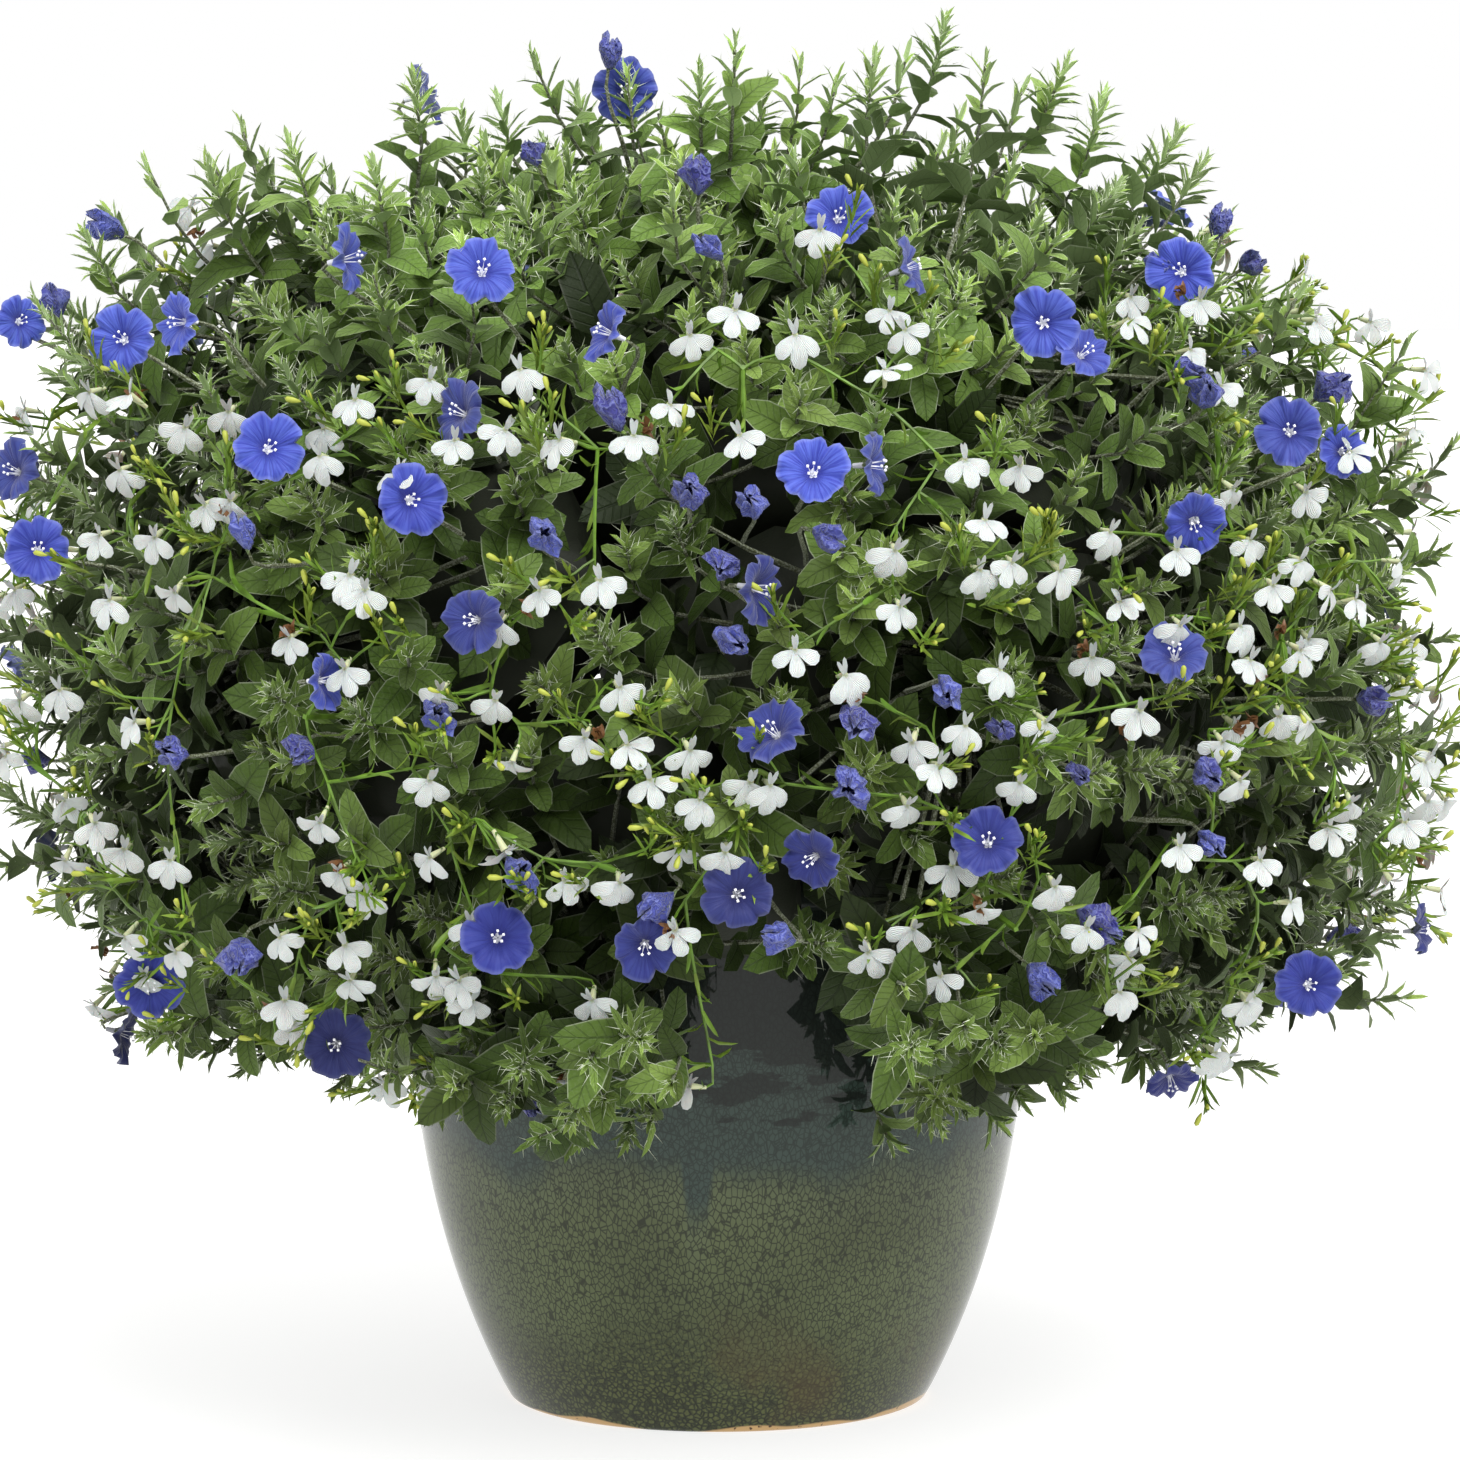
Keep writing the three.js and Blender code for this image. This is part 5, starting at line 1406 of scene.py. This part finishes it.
class PLANTING_OT_soil(bpy.types.Operator):
    """Adds the crumbly soil that fills the pot"""

    bl_idname = "planting.soil"
    bl_label = "Soil"

    def execute(self, context):
        settings = context.scene.planting_pot
        low = settings.floor + 0.4 * MM
        edge = wall_radius(settings, SOIL_EDGE) - settings.wall - SOIL_GAP
        profile = [(0, low), (wall_radius(settings, low) - settings.wall - 5 * MM - SOIL_GAP, low)]
        profile += [(wall_radius(settings, h) - settings.wall - SOIL_GAP, h) for h in np.linspace(0.06, SOIL_EDGE, 8)]
        profile += [(edge * share, SOIL_EDGE + SOIL_CROWN * (1 - share**2)) for share in np.linspace(0.96, 0, 24)]
        bm = spun(profile, SOIL_STEPS)
        for vert in bm.verts:
            if vert.co.z > SOIL_EDGE - 1e-5:
                crumb = noise.fractal(vert.co / CRUMB_SIZE, 0.8, 2.0, 3)
                vert.co.z += CRUMB_HEIGHT * max(-1, min(1, crumb))
        mesh = mesh_from(bm, "potting_soil", soil_material(settings))
        add_piece("potting_soil", mesh, ["soil"])
        return {"FINISHED"}


def flower_room():
    """Every flower's place and facing, with the room that leaves keep clear in front of it."""
    rooms = ((flower_places(), FLOWER_ROOM), (bloom_places(), BLOOM_ROOM), (side_bloom_places(), FLOWER_ROOM),
             (faded_places(), FADED_ROOM))
    return [(place, facing, room) for places, room in rooms for place, facing in places]


class PLANTING_OT_foliage(bpy.types.Operator):
    """Adds the evolvulus stems with their shoots and leaves, one piece for each leafy head"""

    bl_idname = "planting.foliage"
    bl_label = "Evolvulus foliage"

    def execute(self, context):
        settings = context.scene.planting_foliage
        foliage = Foliage(settings, flower_room())
        materials = [leaf_material(settings), stem_material(settings), hair_material(settings)]
        growths = [Growth(*materials) for _ in HEAD_MIDDLES]
        stems = [[] for _ in HEAD_MIDDLES]
        rng = Random(FOLIAGE_SEED)
        tips = []
        for i in range(settings.shoots):
            direction = spiral_direction(i, settings.shoots, 0.995, -0.9)
            tips.append((outline_point(scattered(rng, direction, 0.05), rng.uniform(*SHOOT_LEVELS)), False))
        for across, down in TALL_SHOOTS:
            tip = seen_at(across, down, 1)
            tips.append((tip + (EYE - tip).normalized() * rng.uniform(-TALL_SPREAD, TALL_SPREAD), True))
        for i in range(BACK_TALL_SHOOTS):
            tip = outline_point(back_direction(i, BACK_TALL_SHOOTS, 0.97, -0.5), BACK_TALL_LEVEL)
            tips.append((tip, True))
        tips += [(seen_at(across, down, HANGING_LEVEL), False) for across, down in HANGING_SHOOTS]
        for tip, is_tall in tips:
            if near_pot(tip, 8 * MM) or in_front_gap(tip):
                continue
            out = outward_from(tip)
            if foliage.hides_flower(tip):
                tip = tip - out * 14 * MM
            head = nearest_index(HEAD_MIDDLES, tip)
            middle = HEAD_MIDDLES[head]
            start = middle.lerp(tip, 0.15) - out * 12 * MM
            axis = scattered(rng, out + UP * (0.8 if is_tall else 0.35), 0.3)
            kind = "brush" if rng.random() < BRUSH_SHARE else "tall" if is_tall else "plain"
            foliage.grow_shoot(growths[head], stems[head], start, tip, axis, rng, kind)
        mains = [stem_points(middle, 10 * MM) for middle in HEAD_MIDDLES]
        for i in range(INNER_SHOOTS):
            tip = outline_point(spiral_direction(i, INNER_SHOOTS, 0.98, -0.8, 1), rng.uniform(*INNER_LEVELS))
            if near_pot(tip, 12 * MM) or in_front_gap(tip):
                continue
            head = nearest_index(HEAD_MIDDLES, tip)
            start = min(mains[head][2:], key=lambda point: abs((point - tip).length - 70 * MM))
            foliage.grow_inner(growths[head], stems[head], start, tip, rng)
        for i, name in enumerate(nodes_named("evolvulus_stem_")):
            # Painted shade: the core gets a light tone of zero
            growths[i].add(shade_core_shape(i), tone=(0, 0, 0))
            # Painted shade: stems are darkened by their light tone, the shoots' thin stems more than the main ones
            growths[i].add(tubes([tapered(mains[i], STEM_RADIUS, 0.6 * STEM_RADIUS)], 1, 1))
            growths[i].add(tubes(stems[i], 1), tone=(0.4, 0, 0))
            mesh = growths[i].mesh(name.replace("stem", "foliage"))
            add_piece(mesh.name, mesh, [name])
        return {"FINISHED"}


class PLANTING_OT_blooms(bpy.types.Operator):
    """Adds the open and the faded blue blooms, each with the nearest bloom of the frame"""

    bl_idname = "planting.blooms"
    bl_label = "Evolvulus blooms"

    def execute(self, context):
        settings = context.scene.planting_blooms
        foliage = context.scene.planting_foliage
        stamen, _, _ = new_material("stamen_living", Base_Color=WHITE["stamen"], Roughness=0.5)
        materials = [bloom_material(settings), stamen, leaf_material(foliage), hair_material(foliage),
                     stem_material(foliage), faded_material(settings)]
        open_shapes = [bloom_shape(settings, seed) for seed in (1, 2, 3, 4, 5)]
        faded_shapes = [faded_shape(seed) for seed in (4, 5, 6, 7)]
        own = bloom_places()
        growths = [Growth(*materials) for _ in own]
        stalks = [[] for _ in own]
        rng = Random(BLOOM_SEED)
        middles = [place for place, _ in own]
        open_blooms = own + side_bloom_places()
        for i, (place, facing) in enumerate(open_blooms):
            index = i if i < len(own) else nearest_index(middles, place)
            size = 1.0 if i < len(FRONT_BLOOMS) else rng.uniform(0.8, 1.0)
            spin = turned_about("Z", rng.uniform(0, 2 * math.pi))
            matrix = placing(place, facing.orthogonal(), facing, size) @ spin
            # Painted shade: blooms lower in the bush get a darker light tone and a deeper blue, both with random tone
            low = 1 - (place.z - VIEW_AIM.z + BUSH_DROP) / (BUSH_RISE + BUSH_DROP)
            tone = (rng.uniform(0.4, 1.0) - 0.4 * low, min(1, max(0, low + rng.uniform(-0.3, 0.3))), 0)
            growths[index].add(rng.choice(open_shapes), matrix, tone)
            stalks[index].append(self.stalk(place, facing, 11 * MM))
        for place, facing in faded_places():
            index = nearest_index(middles, place)
            matrix = placing(place, facing.orthogonal(), facing, rng.uniform(0.85, 1.15))
            growths[index].add(rng.choice(faded_shapes), matrix, (rng.uniform(0.1, 0.8), 0, 0))
            stalks[index].append(self.stalk(place, facing, 5 * MM))
        for i, name in enumerate(nodes_named("evolvulus_blooms_")):
            growths[i].add(tubes(stalks[i], 4))
            mesh = growths[i].mesh(name.replace("blooms", "bloom_spray"))
            add_piece(mesh.name, mesh, [name])
        return {"FINISHED"}

    def stalk(self, place, facing, depth):
        """A bloom's thin stalk, from inside the leaves to the foot of its sepals."""
        neck = place - facing * depth
        root = place - outward_from(place) * 48 * MM
        path = interpolate_bezier(root, root.lerp(neck, 0.5), neck - facing * 12 * MM, neck, 6)
        return tapered(path, *BLOOM_STALK)


class PLANTING_OT_lobelia(bpy.types.Operator):
    """Adds the lobelia sprays: stems, narrow leaves and buds, and the white flowers as pieces of their own"""

    bl_idname = "planting.lobelia"
    bl_label = "Lobelia sprays"

    def execute(self, context):
        settings = context.scene.planting_lobelia
        petal = lobelia_petal_material(settings)
        green = lobelia_green_material(settings)
        bud, _, _ = new_material("lobelia_bud_living", Base_Color=settings.bud, Roughness=0.5)
        self.flowers = lobelia_shapes(settings)
        self.tufts = tuft_shapes()
        self.leaves = narrow_leaf_shapes()
        self.dried = dried_shape()
        shares = [[] for _ in HUBS]
        for place, facing in flower_places():
            shares[nearest_index(HUBS, place)].append((place, facing))
        for i, name in enumerate(nodes_named("lobelia_spray_")):
            white = Growth(petal, green)
            greens = Growth(green, bud)
            self.grow(HUBS[i], shares[i], white, greens, Random(SPRAY_SEED + i))
            mesh = white.mesh(name.replace("spray", "flowers"))
            add_piece(mesh.name, mesh, [name])
            mesh = greens.mesh(name.replace("spray", "stems"))
            add_piece(mesh.name, mesh, [name])
        return {"FINISHED"}

    def grow(self, hub, places, white, greens, rng):
        """Grows one spray: each flower's branch starts from the nearest point that the spray has reached."""
        inward = -outward_from(hub)
        reached = [hub + inward * (1 + 7 * k) * MM for k in range(4)]
        stems = [tapered(stem_points(hub, 60 * MM), SPRAY_STEM_RADIUS, 0.6 * SPRAY_STEM_RADIUS)]
        for place, facing in sorted(places, key=lambda item: (item[0] - hub).length):
            slope = (downslope(place) - facing * downslope(place).dot(facing)).normalized()
            hanging = (slope + 0.5 * facing.cross(slope) * rng.uniform(-1, 1)).normalized()
            matrix = placing(place, hanging, facing, rng.uniform(0.88, 1.05))
            white.add(rng.choice(self.flowers), matrix)
            neck = matrix @ TUBE_END
            foot = min(reached, key=lambda point: (point - neck).length)
            bow = outward_from(place) * 0.15 * (neck - foot).length
            path = interpolate_bezier(foot, foot.lerp(neck, 0.4) + bow, neck - facing * 14 * MM, neck, 7)
            stems.append(tapered(path, *BRANCH_STEM))
            reached += [path[2], path[4]]
            self.add_leaves(greens, path, rng)
            if rng.random() < DRIED_SHARE:
                end = path[5] + scattered(rng, facing, 1) * 9 * MM
                stems.append(tapered([path[5], path[5].lerp(end, 0.5), end], *DRIED_STEM))
                greens.add(self.dried, placing(end, end - path[5], facing), (0.5, 0, 1))
            for _ in range(rng.choice((0, 1, 1, 2))):
                self.add_tuft(greens, stems, path[4], place, rng)
        greens.add(tubes(stems, 0), tone=(0.5, 0.1, 0))

    def add_leaves(self, greens, path, rng):
        reach = length_of(path)
        down = 14 * MM
        while down < min(reach, 90 * MM):
            place, way = along_path(path, down)
            side = aside(way, rng.uniform(0, 2 * math.pi))
            direction = way + side * rng.uniform(0.6, 1.2)
            matrix = placing(place, direction, way, rng.uniform(0.7, 1.15))
            greens.add(rng.choice(self.leaves), matrix, (rng.random(), rng.uniform(0, 0.5), 0))
            down += rng.uniform(5, 9) * MM

    def add_tuft(self, greens, stems, foot, place, rng):
        out = outward_from(place)
        side = aside(out, rng.uniform(0, 2 * math.pi))
        end = place + side * rng.uniform(14, 22) * MM + out * rng.uniform(-2, 7) * MM
        if near_pot(end, 2 * MM) or in_front_gap(end):
            return
        way = scattered(rng, out + UP * 0.5 + side * 0.6, 0.4)
        stems.append(tapered(interpolate_bezier(foot, foot.lerp(end, 0.5), end - way * 10 * MM, end, 5), *TUFT_STEM))
        greens.add(rng.choice(self.tufts), placing(end, way, out, rng.uniform(0.8, 1.15)),
                   (rng.random(), rng.uniform(0.2, 0.8), 0))


class PLANTING_OT_stage(bpy.types.Operator):
    """Adds the pale floor, the soft light and the camera"""

    bl_idname = "planting.stage"
    bl_label = "Stage"

    def execute(self, context):
        settings = context.scene.planting_stage
        scene = context.scene
        bm = bmesh.new()
        bmesh.ops.create_circle(bm, cap_ends=True, segments=64, radius=40)
        material, _, _ = new_material(
            "studio_floor_lit", Base_Color=settings.floor, Roughness=0.9, Emission_Color=(1, 1, 1),
            Emission_Strength=settings.glow)
        floor = bpy.data.objects.new("studio_floor", mesh_from(bm, "studio_floor", material))
        scene.collection.objects.link(floor)
        world = bpy.data.worlds.new("studio_room")
        world.use_nodes = True
        background = world.node_tree.nodes["Background"]
        background.inputs["Color"].default_value = (1, 1, 1, 1)
        background.inputs["Strength"].default_value = settings.sky
        scene.world = world
        key = bpy.data.lights.new("key_light", "SUN")
        key.energy = settings.key
        key.angle = math.radians(40)
        lamp = bpy.data.objects.new("key_light", key)
        lamp.rotation_euler = (math.radians(36), 0, math.radians(26))
        scene.collection.objects.link(lamp)
        camera = bpy.data.cameras.new("front_view")
        camera.sensor_width = SENSOR
        camera.lens = SENSOR * (VIEW_AIM - EYE).length / VIEW_WIDTH
        camera.clip_end = 200
        eye = bpy.data.objects.new("front_view", camera)
        eye.location = EYE
        eye.rotation_euler = (VIEW_AIM - EYE).to_track_quat("-Z", "Y").to_euler()
        scene.collection.objects.link(eye)
        scene.camera = eye
        scene.view_settings.view_transform = "Standard"
        return {"FINISHED"}


SETTINGS = {
    "planting_pot": PotSettings,
    "planting_foliage": FoliageSettings,
    "planting_blooms": BloomSettings,
    "planting_lobelia": LobeliaSettings,
    "planting_stage": StageSettings,
}
OPERATORS = (
    PLANTING_OT_stage,
    PLANTING_OT_pot,
    PLANTING_OT_soil,
    PLANTING_OT_foliage,
    PLANTING_OT_blooms,
    PLANTING_OT_lobelia,
)


class PLANTING_PT_panel(bpy.types.Panel):
    """Lists the planting's sizes, colours and steps"""

    bl_label = "Potted Morning Glory"
    bl_idname = "PLANTING_PT_panel"
    bl_space_type = "VIEW_3D"
    bl_region_type = "UI"
    bl_category = "Planting"

    def draw(self, context):
        layout = self.layout
        for operator in OPERATORS:
            layout.operator(operator.bl_idname)
        for attribute in SETTINGS:
            group = getattr(context.scene, attribute)
            box = layout.box()
            for name in group.__annotations__:
                box.prop(group, name)


def register():
    for attribute, group in SETTINGS.items():
        bpy.utils.register_class(group)
        setattr(bpy.types.Scene, attribute, PointerProperty(type=group))
    for operator in OPERATORS:
        bpy.utils.register_class(operator)
    bpy.utils.register_class(PLANTING_PT_panel)


def unregister():
    bpy.utils.unregister_class(PLANTING_PT_panel)
    for operator in reversed(OPERATORS):
        bpy.utils.unregister_class(operator)
    for attribute, group in SETTINGS.items():
        delattr(bpy.types.Scene, attribute)
        bpy.utils.unregister_class(group)


def main():
    register()
    bpy.ops.planting.stage()
    bpy.ops.planting.pot()
    bpy.ops.planting.soil()
    bpy.ops.planting.foliage()
    bpy.ops.planting.blooms()
    bpy.ops.planting.lobelia()


if __name__ == "__main__":
    main()
